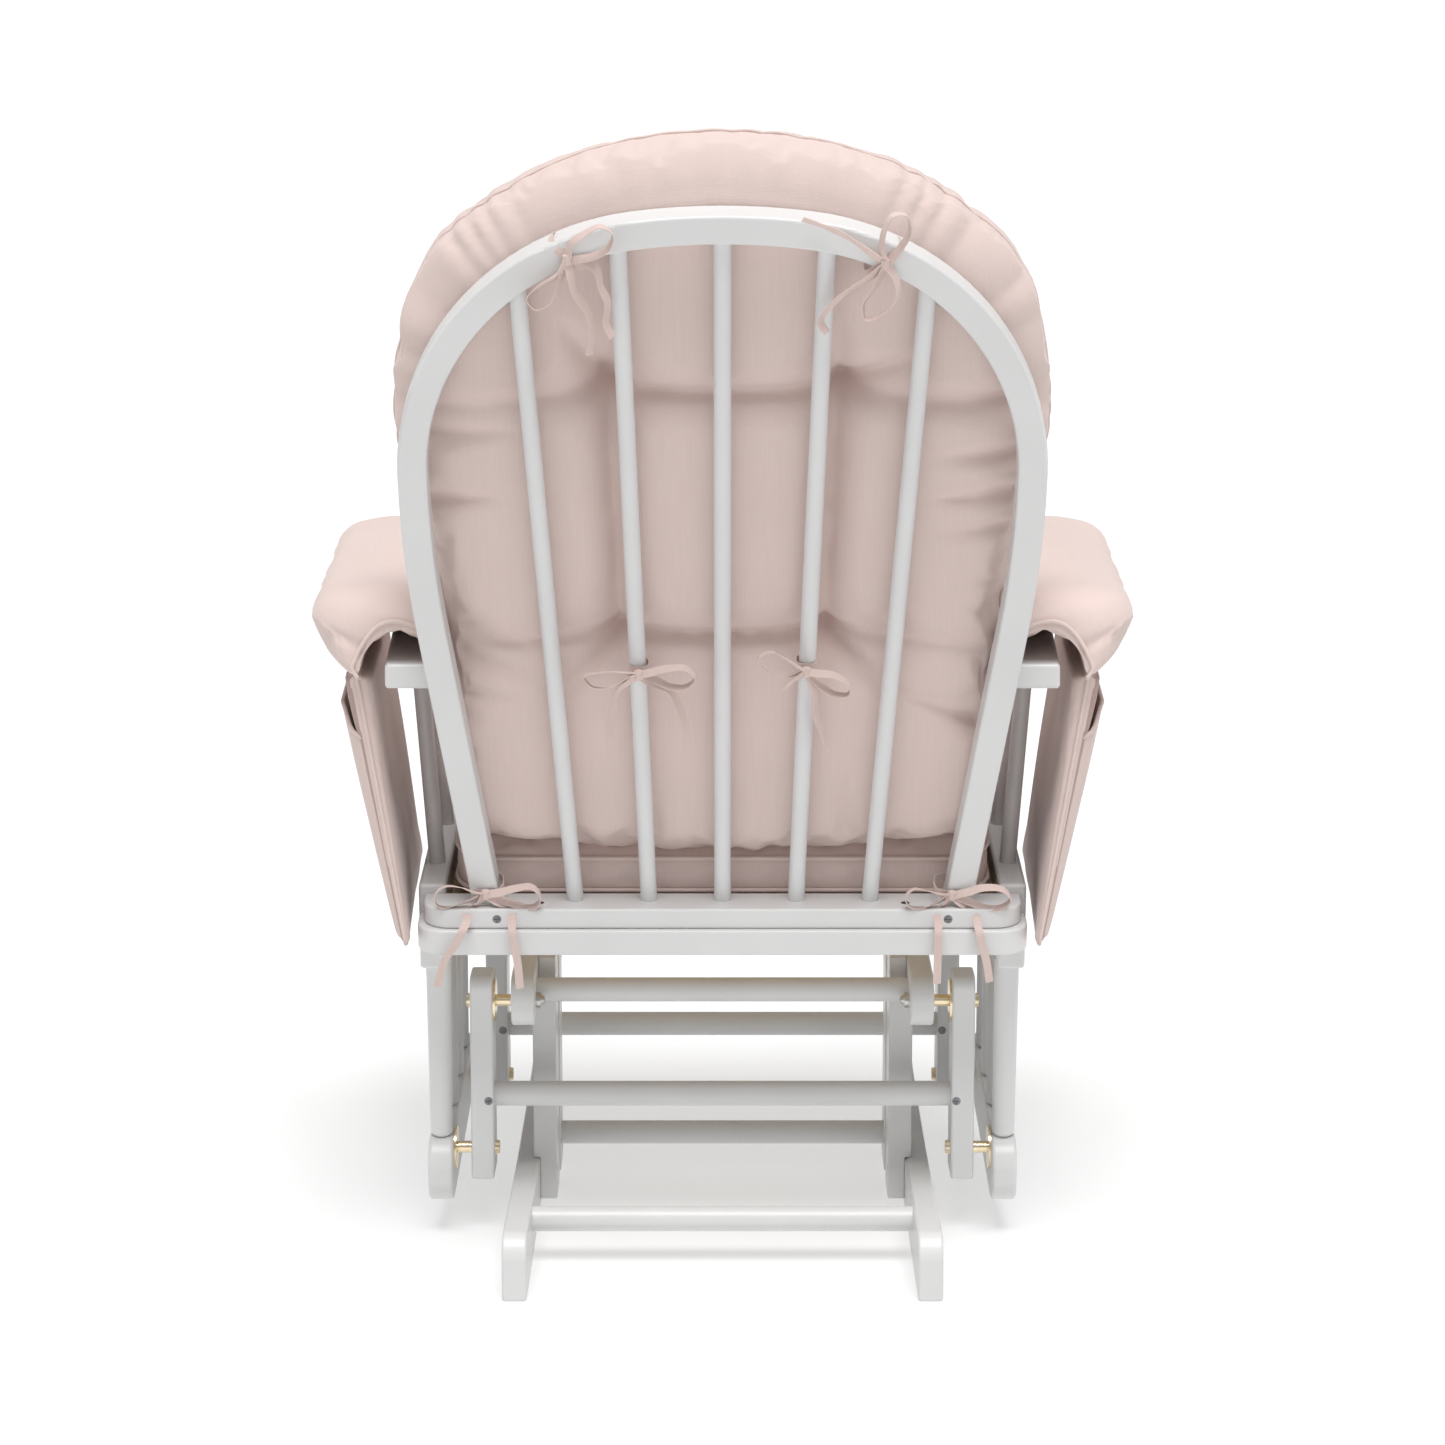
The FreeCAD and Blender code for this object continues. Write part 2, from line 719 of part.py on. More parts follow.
upright_inner = mm("foot_inner") - mm("upright_thick") + mm("lap_depth")
upright_y = {row: mm("base_mid_y") + ROWS[row] * mm("upright_spacing") / 2 for row in ROWS}
upper_dowels = {
    row: cross_dowel(f"upper_{row}_dowel", mm("foot_inner"),
                     mm("base_mid_y") + ROWS[row] * mm("upper_dowel_spread"), mm("upper_dowel_z"))
    for row in ROWS
}
lower_rear_dowel = cross_dowel("lower_rear_dowel", mm("foot_inner"), mm("lower_rear_dowel_y"),
                               mm("lower_dowel_z"))
lower_middle_dowel = cross_dowel("lower_middle_dowel", upright_inner, upright_y["front"],
                                 mm("lower_dowel_z"))

hanger_middle_z = mm("hanger_bottom_z") + mm("hanger_height") / 2
lap_middle_z = (mm("upright_bottom_z") + mm("foot_waist")) / 2
base_screws = []
for side_name, side in SIDES.items():
    for row in ROWS:
        for level, middle_z in (("top", hanger_middle_z), ("foot", lap_middle_z)):
            for number, step in enumerate((-1, 1), start=1):
                place = Vector(side * upright_inner, upright_y[row] + step * mm("lap_screw_step"),
                               middle_z + step * mm("lap_screw_rise"))
                fixing, hole = screw_to(f"screw_{side_name}_{row}_{level}_{number}", place,
                                        Vector(side, 0, 0))
                base_screws.append(LapScrew(side_name, row, level, fixing, hole))
group_of("base_screws", [one.fixing for one in base_screws])

hanger_bolts = {(side_name, row): hanger_bolt(f"bolt_{side_name}_{row}", side, row)
                for side_name, side in SIDES.items() for row in ROWS}
group_of("hanger_bolts", list(hanger_bolts.values()))
group_of("hanger_nuts", [nut(f"nut_{side_name}_{row}", side, row)
                         for side_name, side in SIDES.items() for row in ROWS])

for side_name, side in SIDES.items():
    near_screws = [one for one in base_screws if one.side == side_name]
    foot_holes = [one.hole for one in near_screws if one.level == "foot"]
    top_holes = [one.hole for one in near_screws if one.level == "top"]
    bored(f"foot_{side_name}", foot(f"foot_{side_name}", side), [lower_rear_dowel] + foot_holes)
    bored(f"hanger_rail_{side_name}", hanger_rail(f"hanger_rail_{side_name}", side),
          list(upper_dowels.values()) + top_holes
          + [hanger_bolts[side_name, row] for row in ROWS])
    for row in ROWS:
        fits = [one.hole for one in near_screws if one.row == row]
        if row == "front":
            fits.append(lower_middle_dowel)
        label = f"{row}_upright_{side_name}"
        bored(label, upright(label, side, row), fits)

# ---------------------------------------------------------------- swing links

for row in ROWS:
    dowel_z = mm("upper_pivot_z") - mm("link_dowel_drop")
    dowel = dowel_rod(f"{row}_link_dowel_blank", mm("link_inner"), pivot_y(row), dowel_z,
                      "link_dowel_diameter")
    screws = []
    holes = []
    bushes = []
    pins = []
    for side_name, side in SIDES.items():
        label = f"{row}_link_{side_name}"
        screw_place = Vector(side * (mm("link_inner") + mm("dowel_socket") / 2),
                             pivot_y(row) + mm("link_width") / 2, dowel_z)
        fixing, hole = screw_to(f"{row}_link_screw_{side_name}", screw_place, Vector(0, -1, 0))
        screws.append(fixing)
        holes.append(hole)
        upper_pivot = at_x(side * mm("link_inner"), pivot_y(row), mm("upper_pivot_z"))
        bushes.append(bush(f"{row}_link_bush_{side_name}", upper_pivot, "link_thick"))
        pins.append(swing_pin(f"{row}_pin_{side_name}", side, row))
        bore = rod(f"{label}_bore", upper_pivot.multVec(Vector(0, 0, -mm("bore_runout"))),
                   upper_pivot.multVec(Vector(0, 0, mm("link_thick") + mm("bore_runout"))),
                   "bush_diameter")
        bored(label, swing_link(label, side, row), [dowel, hole, bushes[-1], pins[-1], bore])
    bored(f"{row}_link_dowel", dowel, holes)
    group_of(f"{row}_link_screws", screws)
    group_of(f"{row}_link_bushes", bushes)
    group_of(f"{row}_swing_pins", pins)

# ---------------------------------------------------------------- seat frame

tilt = math.radians(mm("seat_tilt"))
pivot_in_seat = {"rear": (0.0, 0.0),
                 "front": (-mm("pivot_spacing") * math.cos(tilt),
                           -mm("pivot_spacing") * math.sin(tilt))}
lower_rail_inner = value(LOWER_RAIL_INNER)
rail_top = value(RAIL_TOP)
post_x = mm("side_rail_inner") + mm("side_rail_thick") / 2


def lower_post(name, side, index):
    """A tapered post between the lower rail and the side rail, with a tenon at each end."""
    place = Vector(side * (lower_rail_inner + mm("lower_rail_thick") / 2),
                   mm("post_first") - index * mm("post_pitch"), mm("lower_rail_top"))
    length = "(side_rail_bottom - lower_rail_top)"
    profile = [("0", "-post_tenon"), ("post_tenon_diameter / 2", "-post_tenon"),
               ("post_tenon_diameter / 2", "0"), ("post_bottom_diameter / 2 - post_bevel", "0"),
               ("post_bottom_diameter / 2", "post_bevel"), ("post_top_diameter / 2", length),
               ("post_tenon_diameter / 2", length),
               ("post_tenon_diameter / 2", f"{length} + post_tenon"),
               ("0", f"{length} + post_tenon")]
    return turned(name, profile, SEAT * Placement(place, Rotation()))


def arm_middle(place_y):
    """X of the middle of an arm board at one Y, and how far along the board that is."""
    share = (mm("arm_rear_y") - place_y) / mm("arm_length")
    rear = mm("arm_rear_inner") + mm("arm_rear_width") / 2
    front = mm("arm_front_inner") + mm("arm_front_width") / 2
    return rear + share * (front - rear)


def arm_post(name, side, index):
    """A round post that leans out from the side rail to the arm."""
    place_y = mm("arm_post_first") - index * mm("arm_post_pitch")
    low = SEAT.multVec(Vector(side * post_x, place_y, rail_top))
    arm_bottom = mm("arm_top_z") - mm("arm_thick")
    high_y = low.y + (arm_bottom - low.z) * math.tan(tilt)
    high = Vector(side * arm_middle(high_y), high_y, arm_bottom)
    along = (high - low).normalize()
    return rod(name, low - along * mm("arm_post_tenon"), high + along * mm("arm_post_tenon"),
               "arm_post_diameter")


def arm(label, side):
    """A level arm board, wider and further out at the front."""
    body = new_body(label, WORLD)
    sketch = new_sketch(body, "XY_Plane", "arm_top_z - arm_thick")
    front = "arm_rear_y - arm_length"
    outline = [("arm_rear_inner", "arm_rear_y"), ("arm_rear_inner + arm_rear_width", "arm_rear_y"),
               ("arm_front_inner + arm_front_width", front), ("arm_front_inner", front)]
    sign = "" if side > 0 else "-"
    polygon(sketch, [(f"{sign}({x})", y) for x, y in outline])
    board = pad(body, sketch, "arm_thick")
    front_y = value(front)
    rounded = fillet(body, board, "arm_corner",
                     lambda edge: upright_edge(edge) and edge.CenterOfMass.y < front_y + NEAR)
    soften(body, rounded, "rail_edge")
    return body


spindles = [spindle(index) for index in range(-SPINDLES_PER_SIDE, SPINDLES_PER_SIDE + 1)]
hoop = bored("back_hoop", hoop_blank(), spindles)
for index, item in enumerate(spindles, start=1):
    keep(f"spindle_{index}", item)

rail_bushes = []
seat_screws = []
seat_screw_holes = []
for side_name, side in SIDES.items():
    posts = [lower_post(f"lower_post_{side_name}_{index}", side, index)
             for index in range(POSTS_PER_SIDE)]
    arm_posts = [arm_post(f"arm_post_{side_name}_{index}", side, index)
                 for index in range(POSTS_PER_SIDE)]
    group_of(f"lower_posts_{side_name}", posts)
    group_of(f"arm_posts_{side_name}", arm_posts)
    holes = []
    for row, (place_y, place_z) in pivot_in_seat.items():
        frame = SEAT * at_x(side * lower_rail_inner, place_y, place_z)
        rail_bushes.append(bush(f"{row}_rail_bush_{side_name}", frame, "pin_end_depth"))
        start = frame.multVec(Vector(0, 0, -mm("bore_runout")))
        end = frame.multVec(Vector(0, 0, mm("pin_end_depth")))
        holes.append(rod(f"{row}_rail_bore_{side_name}", start, end, "bush_diameter"))
    bored(f"lower_rail_{side_name}", lower_rail(f"lower_rail_{side_name}", side), posts + holes)
    bored(f"side_rail_{side_name}", side_rail(f"side_rail_{side_name}", side), posts + arm_posts)
    bored(f"arm_{side_name}", arm(f"arm_{side_name}", side), arm_posts + [hoop])
    rear_face = Vector(side * mm("rear_screw_x"), value("side_rail_rear + back_rail_depth"),
                       back_rail_top - mm("back_rail_thick") / 2)
    top_face = Vector(side * mm("top_screw_x"), mm("side_rail_rear") + mm("top_screw_inset"),
                      back_rail_top)
    for name, place, direction in (("rear_face", rear_face, Vector(0, -1, 0)),
                                   ("top_face", top_face, Vector(0, 0, -1))):
        fixing, hole = screw_to(f"{name}_screw_{side_name}", place, direction, SEAT)
        seat_screws.append(fixing)
        seat_screw_holes.append(hole)
group_of("rail_bushes", rail_bushes)
group_of("seat_screws", seat_screws)

rear_rail_half = "(side_rail_inner + side_rail_thick - rear_rail_inset)"
bored("rear_seat_rail",
      flat_board("rear_seat_rail", rear_rail_half, "(side_rail_rear + rear_rail_depth)",
                 "rear_rail_depth", "side_rail_bottom + rear_rail_rise", "rear_rail_thick",
                 "rear_rail_corner", SEAT), seat_screw_holes)
bored("back_rail",
      flat_board("back_rail", f"({rear_rail_half} - back_rail_inset)",
                 "(side_rail_rear + back_rail_depth)", "back_rail_depth",
                 f"{BACK_RAIL_TOP} - back_rail_thick", "back_rail_thick", "rear_rail_corner", SEAT),
      [hoop] + spindles + seat_screw_holes)
front_rail_y = "(side_rail_rear - side_rail_length + front_rail_thick)"
keep("front_seat_rail",
     flat_board("front_seat_rail", "side_rail_inner", front_rail_y, "front_rail_thick",
                "side_rail_bottom + front_rail_rise",
                "deck_top - side_rail_bottom - front_rail_rise", None, SEAT))
keep("seat_deck",
     flat_board("seat_deck", "side_rail_inner", "side_rail_rear",
                "side_rail_length - front_rail_thick", "deck_top - deck_thick", "deck_thick",
                None, SEAT))
cleats = []
for side_name, side in SIDES.items():
    corners = rectangle("side_rail_rear - side_rail_length + front_rail_thick", "side_rail_rear",
                        "deck_top - deck_thick - cleat_height", "deck_top - deck_thick")
    body, board = side_board(f"cleat_{side_name}", side, "(side_rail_inner - cleat_width)",
                             "cleat_width", corners, SEAT)
    cleats.append(body)
group_of("deck_cleats", cleats)

# ---------------------------------------------------------------- soft parts

def seat_cushion():
    """A boxed cushion, thinner at the back where the back cushion stands on it."""
    body = new_body("seat_cushion", SEAT)
    sketch = new_sketch(body, "YZ_Plane", "-seat_pad_half")
    front = "side_rail_rear - side_rail_length - seat_pad_overhang"
    floor = "deck_top + soft_gap"
    rear = "side_rail_rear - seat_pad_setback"
    polygon(sketch, [(front, floor), (rear, floor), (rear, f"{floor} + seat_pad_rear_thick"),
                     ("side_rail_rear - seat_pad_slope", f"{floor} + seat_pad_thick"),
                     (front, f"{floor} + seat_pad_thick")])
    block = pad(body, sketch, "2 * seat_pad_half")
    top = value(f"{floor} + seat_pad_thick")
    front_y = value(front)
    fillet(body, block, "seat_pad_edge",
           lambda edge: across(edge) and edge.CenterOfMass.z > top - NEAR
           and edge.CenterOfMass.y < front_y + NEAR)
    return keep("seat_cushion", body)


def back_cushion():
    """A cushion in front of the hoop, narrower between the arms than above them."""
    body = new_body("back_cushion", BACK)
    sketch = new_sketch(body, "XZ_Plane", "hoop_thick + soft_gap")
    edge = arch(mm("back_pad_waist"), mm("back_pad_half"), mm("back_pad_waist_height"),
                mm("back_pad_spring"), mm("back_pad_crown_half"), mm("back_pad_crown_rise"), 0,
                mm("back_pad_bottom"))
    waist = Vector(mm("back_pad_waist"), mm("back_pad_waist_height"), 0)
    foot_corner = Vector(mm("back_pad_foot"), mm("back_pad_bottom"), 0)
    flare = Vector(edge["spring"].x, edge["spring"].y, 0)
    for curve in (Part.LineSegment(foot_corner, waist), Part.LineSegment(waist, flare),
                  Part.Arc(edge["spring"], edge["shoulder_middle"], edge["shoulder"]),
                  Part.Arc(edge["shoulder"], edge["crown"], mirrored(edge["shoulder"])),
                  Part.Arc(mirrored(edge["shoulder"]), mirrored(edge["shoulder_middle"]),
                           mirrored(edge["spring"])),
                  Part.LineSegment(mirrored(flare), mirrored(waist)),
                  Part.LineSegment(mirrored(waist), mirrored(foot_corner)),
                  Part.LineSegment(mirrored(foot_corner), foot_corner)):
        sketch.addGeometry(curve)
    pad(body, sketch, "back_pad_thick")
    return keep("back_cushion", body)


def arm_pad(label, side):
    """A padded sleeve over the arm, with a skirt down its outer side."""
    body = new_body(label, WORLD)
    front = "(arm_rear_y - arm_pad_setback - arm_pad_length)"
    rear = "(arm_rear_y - arm_pad_setback)"
    sketch = new_sketch(body, "XY_Plane", "arm_top_z + soft_gap")
    outer_rear = "(arm_rear_inner + arm_rear_width + arm_pad_overhang)"
    outer_front = "(arm_front_inner + arm_front_width + arm_pad_overhang)"
    sign = "" if side > 0 else "-"
    outline = [("arm_pad_inner_rear", rear), (outer_rear, rear), (outer_front, front),
               ("arm_pad_inner_front", front)]
    polygon(sketch, [(f"{sign}{x}", y) for x, y in outline])
    block = pad(body, sketch, "arm_pad_thick")
    skirt_sketch = new_sketch(body, "XY_Plane", "arm_top_z - arm_pad_drop")
    skirt = [(f"{outer_rear} - arm_pad_skirt", rear), (outer_rear, rear), (outer_front, front),
             (f"{outer_front} - arm_pad_skirt", front)]
    polygon(skirt_sketch, [(f"{sign}({x})", y) for x, y in skirt])
    block = pad(body, skirt_sketch, "arm_pad_drop + soft_gap + arm_pad_edge")
    top = mm("arm_top_z") + mm("soft_gap") + mm("arm_pad_thick")
    fillet(body, block, "arm_pad_edge", lambda edge: edge.BoundBox.ZMin > top - TOUCH)
    return keep(label, body)


def arm_pocket(label, side):
    """The padded side panel with a pocket. It hangs from the arm pad, leans in and follows the arm."""
    hinge = mm("arm_rear_inner") + mm("arm_rear_width")
    shift = mm("arm_front_inner") + mm("arm_front_width") - hinge
    splay = math.degrees(math.atan2(shift, mm("arm_length")))
    frame = Placement(Vector(side * hinge, mm("pocket_rear_y"), 0),
                      Rotation(Vector(0, 0, 1), side * splay))
    body = new_body(label, frame)
    sketch = new_sketch(body, "XZ_Plane")
    top = "arm_top_z - arm_pad_drop - soft_gap"
    outline = [("pocket_foot_inner", "pocket_foot_z"),
               ("pocket_foot_inner + pocket_foot_thick", "pocket_foot_z"),
               ("pocket_top_inner + pocket_top_thick", top), ("pocket_top_inner", top)]
    sign = "" if side > 0 else "-"
    polygon(sketch, [(f"{sign}({x} - arm_rear_inner - arm_rear_width)", z) for x, z in outline])
    pad(body, sketch, "pocket_length")
    return keep(label, body)


def slab(name, low, high, frame):
    """A thin piece of ribbon between two corners of a frame."""
    piece = doc.addObject("Part::Box", name)
    piece.Length = high.x - low.x
    piece.Width = high.y - low.y
    piece.Height = high.z - low.z
    piece.Placement = frame * Placement(low, Rotation())
    return piece


def tie(label, frame, middle_x, rear_y, height, ledge_y=None, ledge_z=None):
    """A ribbon bow behind the hoop or a spindle, its two ends hanging down.

    Where a ledge is given, the ends run out over it before they hang.
    """
    ribbon = mm("ribbon_width")
    thick = mm("ribbon_thick")
    half_span = mm("bow_span") / 2
    half_knot = mm("knot_size") / 2
    gap = mm("soft_gap")
    near = rear_y + gap
    pieces = [
        slab(f"{label}_bow", Vector(middle_x - half_span, near, height - ribbon),
             Vector(middle_x + half_span, near + thick, height + ribbon), frame),
        slab(f"{label}_knot", Vector(middle_x - half_knot, near, height - half_knot),
             Vector(middle_x + half_knot, near + 2 * thick, height + half_knot), frame),
    ]
    tail_y = near
    tail_top = height
    if ledge_y is not None:
        tail_y = ledge_y + gap
        tail_top = ledge_z + gap + thick
    for number, step in enumerate((-1, 1), start=1):
        left = middle_x + step * mm("tail_spread") - ribbon / 2
        if ledge_y is not None:
            pieces.append(slab(f"{label}_ledge_{number}", Vector(left, near, ledge_z + gap),
                               Vector(left + ribbon, tail_y + thick, tail_top), frame))
            pieces.append(slab(f"{label}_rise_{number}", Vector(left, near, ledge_z + gap),
                               Vector(left + ribbon, near + thick, height), frame))
        pieces.append(slab(f"{label}_tail_{number}",
                           Vector(left, tail_y, tail_top - mm("tail_length")),
                           Vector(left + ribbon, tail_y + thick, tail_top), frame))
    joined = doc.addObject("Part::MultiFuse", label + "_ribbon")
    joined.Shapes = pieces
    return joined


seat_cushion()
back_cushion()
for side_name, side in SIDES.items():
    arm_pad(f"arm_pad_{side_name}", side)
    arm_pocket(f"arm_pocket_{side_name}", side)
upper_tie_height = height_inside_hoop(mm("upper_tie_x")) + mm("upper_tie_rise")
group_of("upper_ties", [tie(f"upper_tie_{side_name}", BACK, side * mm("upper_tie_x"), 0.0,
                            upper_tie_height) for side_name, side in SIDES.items()])
group_of("middle_ties", [tie(f"middle_tie_{side_name}", BACK, side * mm("middle_tie_x"), 0.0,
                             mm("middle_tie_height")) for side_name, side in SIDES.items()])
group_of("lower_ties", [tie(f"lower_tie_{side_name}", SEAT, side * mm("lower_tie_x"),
                            mm("hoop_seat_y") + mm("lower_tie_clear"),
                            back_rail_top + mm("lower_tie_rise"),
                            value("side_rail_rear + rear_rail_depth"), back_rail_top)
                        for side_name, side in SIDES.items()])

# ---------------------------------------------------------------- check and export

doc.recompute()
for item in doc.Objects:
    faults = [state for state in item.State if state in ("Invalid", "Error")]
    if faults:
        raise RuntimeError(f"{item.Label} failed: {faults}")
os.makedirs("parts", exist_ok=True)
for label, item in parts.items():
    shape = item.Shape
    if shape.isNull() or not shape.isValid():
        raise RuntimeError(f"{label} has no valid shape")
    if not shape.Solids:
        raise RuntimeError(f"{label} has no solid")
for label, item in parts.items():
    item.Shape.exportStep(f"parts/{label}.step")
print(f"{len(parts)} sub-parts written")
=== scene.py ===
import math
import bpy
import numpy as np
from mathutils import Matrix, Vector


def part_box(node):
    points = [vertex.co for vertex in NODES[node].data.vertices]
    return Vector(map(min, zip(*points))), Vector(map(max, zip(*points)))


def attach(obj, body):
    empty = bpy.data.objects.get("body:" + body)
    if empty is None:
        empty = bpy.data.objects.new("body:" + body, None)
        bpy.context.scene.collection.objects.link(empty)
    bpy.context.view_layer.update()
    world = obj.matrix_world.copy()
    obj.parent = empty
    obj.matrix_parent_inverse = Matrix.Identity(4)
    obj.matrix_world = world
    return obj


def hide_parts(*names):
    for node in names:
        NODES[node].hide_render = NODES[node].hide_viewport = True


# Looks of the hoop-back glider chair: painted frame, tufted cushions, arm pads, pockets and bows.
# Metres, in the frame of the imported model: +Z up, the sitter faces -Y, and left is +X.

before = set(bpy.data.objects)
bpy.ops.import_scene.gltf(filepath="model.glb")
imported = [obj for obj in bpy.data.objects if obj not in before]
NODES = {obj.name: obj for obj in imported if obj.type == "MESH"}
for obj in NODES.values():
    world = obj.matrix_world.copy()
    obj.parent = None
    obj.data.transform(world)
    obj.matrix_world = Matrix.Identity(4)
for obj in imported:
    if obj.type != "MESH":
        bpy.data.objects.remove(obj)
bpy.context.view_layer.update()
SIDES = {"left": 1.0, "right": -1.0}
MM = 0.001

# ---- places read from the frame

BACK_LEAN = math.radians(17.0)
SEAT_TILT = math.radians(5.0)
HOOP_THICK = 27 * MM
SPINDLE_TENON = 12 * MM


def back_frame():
    """The plane of the hoop's rear face: X across, Y to the rear, Z up from the back rail."""
    low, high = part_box("spindle_3")
    thick = high.x - low.x
    along = Vector((0, math.sin(BACK_LEAN), math.cos(BACK_LEAN)))
    rearward = Vector((0, math.cos(BACK_LEAN), -math.sin(BACK_LEAN)))
    length = (high.z - low.z - thick * math.sin(BACK_LEAN)) / math.cos(BACK_LEAN)
    foot = (low + high) / 2 - along * (length / 2 - SPINDLE_TENON) + rearward * HOOP_THICK / 2
    axes = Matrix((Vector((1, 0, 0)), rearward, along)).transposed().to_4x4()
    return Matrix.Translation(foot) @ axes


def seat_frame():
    """The seat's own axes, from the middle of the lower rear pivots."""
    low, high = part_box("rear_swing_pins")
    middle = (low + high) / 2
    return Matrix.Translation(middle) @ Matrix.Rotation(-SEAT_TILT, 4, "X")


BACK = back_frame()
SEAT = seat_frame()
WORLD = Matrix.Identity(4)

# ---- materials


class Nodes:
    """A short way to write one node material."""

    def __init__(self, name):
        self.material = bpy.data.materials.new(name)
        self.material.use_nodes = True
        self.tree = self.material.node_tree
        self.shader = self.tree.nodes["Principled BSDF"]
        self.place = self.add("ShaderNodeTexCoord").outputs["Object"]

    def add(self, kind, **settings):
        node = self.tree.nodes.new(kind)
        for key, setting in settings.items():
            setattr(node, key, setting)
        return node

    def link(self, source, target):
        self.tree.links.new(source, target)

    def stretched(self, scale):
        """The place, scaled along each axis."""
        mapping = self.add("ShaderNodeMapping")
        mapping.inputs["Scale"].default_value = scale
        self.link(self.place, mapping.inputs["Vector"])
        return mapping.outputs["Vector"]

    def noise(self, scale, detail=3.0, stretch=(1, 1, 1), roughness=0.5):
        texture = self.add("ShaderNodeTexNoise")
        texture.inputs["Scale"].default_value = scale
        texture.inputs["Detail"].default_value = detail
        texture.inputs["Roughness"].default_value = roughness
        self.link(self.stretched(stretch), texture.inputs["Vector"])
        return texture.outputs["Fac"]

    def threads(self, axis, pitch, wobble):
        """Parallel threads that repeat along one axis."""
        wave = self.add("ShaderNodeTexWave", wave_type="BANDS", bands_direction=axis)
        wave.inputs["Scale"].default_value = math.pi / (10 * pitch)
        wave.inputs["Distortion"].default_value = wobble
        wave.inputs["Detail Scale"].default_value = 1.5
        self.link(self.place, wave.inputs["Vector"])
        return wave.outputs["Fac"]

    def math(self, operation, first, second):
        node = self.add("ShaderNodeMath", operation=operation)
        for slot, entry in enumerate((first, second)):
            if isinstance(entry, (int, float)):
                node.inputs[slot].default_value = entry
            else:
                self.link(entry, node.inputs[slot])
        return node.outputs["Value"]

    def ramp(self, fac, low, high, low_at=0.3, high_at=0.7):
        """A colour that runs from low to high as fac does."""
        node = self.add("ShaderNodeValToRGB")
        ends = node.color_ramp.elements
        ends[0].position = low_at
        ends[0].color = (*low, 1)
        ends[1].position = high_at
        ends[1].color = (*high, 1)
        self.link(fac, node.inputs["Fac"])
        return node.outputs["Color"]

    def spread(self, fac, low, high):
        """A number that runs from low to high as fac does."""
        node = self.add("ShaderNodeMapRange")
        node.inputs["To Min"].default_value = low
        node.inputs["To Max"].default_value = high
        self.link(fac, node.inputs["Value"])
        return node.outputs["Result"]

    def bump(self, height, depth, strength=1.0, under=None):
        node = self.add("ShaderNodeBump")
        node.inputs["Strength"].default_value = strength
        node.inputs["Distance"].default_value = depth
        self.link(height, node.inputs["Height"])
        if under is not None:
            self.link(under, node.inputs["Normal"])
        return node.outputs["Normal"]

    def finish(self, color=None, roughness=None, normal=None, **fixed):
        for name, source in (("Base Color", color), ("Roughness", roughness), ("Normal", normal)):
            if source is not None:
                self.link(source, self.shader.inputs[name])
        for name, number in fixed.items():
            self.shader.inputs[name.replace("_", " ")].default_value = number
        return self.material


def painted_wood(name, along):
    """Satin white paint that lets a little of the grain through, which runs along one axis."""
    made = Nodes(name)
    stretch = [0.05 if axis == along else 1.0 for axis in "XYZ"]
    grain = made.noise(420, detail=4, stretch=stretch, roughness=0.6)
    clouds = made.noise(9, detail=2)
    spray = made.noise(1500, detail=1)
    relief = made.bump(grain, 0.06 * MM, 0.6, made.bump(spray, 0.02 * MM, 0.5))
    return made.finish(made.ramp(clouds, (0.655, 0.655, 0.652), (0.69, 0.69, 0.687)),
                       made.spread(grain, 0.34, 0.46), relief,
                       Coat_Weight=0.12, Coat_Roughness=0.25)


def plywood(name):
    """Bare birch ply with fine grain along Y."""
    made = Nodes(name)
    figure = made.noise(60, detail=5, stretch=(1, 0.08, 1), roughness=0.65)
    return made.finish(made.ramp(figure, (0.52, 0.38, 0.22), (0.74, 0.60, 0.42)),
                       made.spread(figure, 0.55, 0.75), made.bump(figure, 0.15 * MM))


def woven_cloth(name, shade, light, pitch, depth):
    """A plain weave with slubs along the warp and slow changes of tone."""
    made = Nodes(name)
    warp = made.threads("X", pitch, 0.9)
    weft = made.threads("Z", pitch, 0.9)
    side = made.threads("Y", pitch, 0.9)
    weave = made.math("ADD", made.math("ADD", warp, weft), side)
    slubs = made.noise(700, detail=2, stretch=(1, 1, 0.035), roughness=0.6)
    clouds = made.noise(7, detail=3)
    fibres = made.noise(2600, detail=2)
    tone = made.math("ADD", made.math("MULTIPLY", slubs, 0.45),
                     made.math("ADD", made.math("MULTIPLY", clouds, 0.4),
                               made.math("MULTIPLY", weave, 0.05)))
    fuzz = made.bump(fibres, depth * 0.5, 0.4)
    relief = made.bump(slubs, depth * 0.8, 0.5, made.bump(weave, depth, 0.35, fuzz))
    return made.finish(made.ramp(tone, shade, light), made.spread(slubs, 0.78, 0.95), relief,
                       Sheen_Weight=0.22, Sheen_Roughness=0.45, Specular_IOR_Level=0.25)


def metal(name, dark, light, low, high):
    """Plated or plain steel with fine scratches."""
    made = Nodes(name)
    scratches = made.noise(900, detail=3, roughness=0.7)
    smears = made.noise(120, detail=2)
    return made.finish(made.ramp(smears, dark, light), made.spread(scratches, low, high),
                       made.bump(scratches, 0.02 * MM, 0.5), Metallic=1.0)


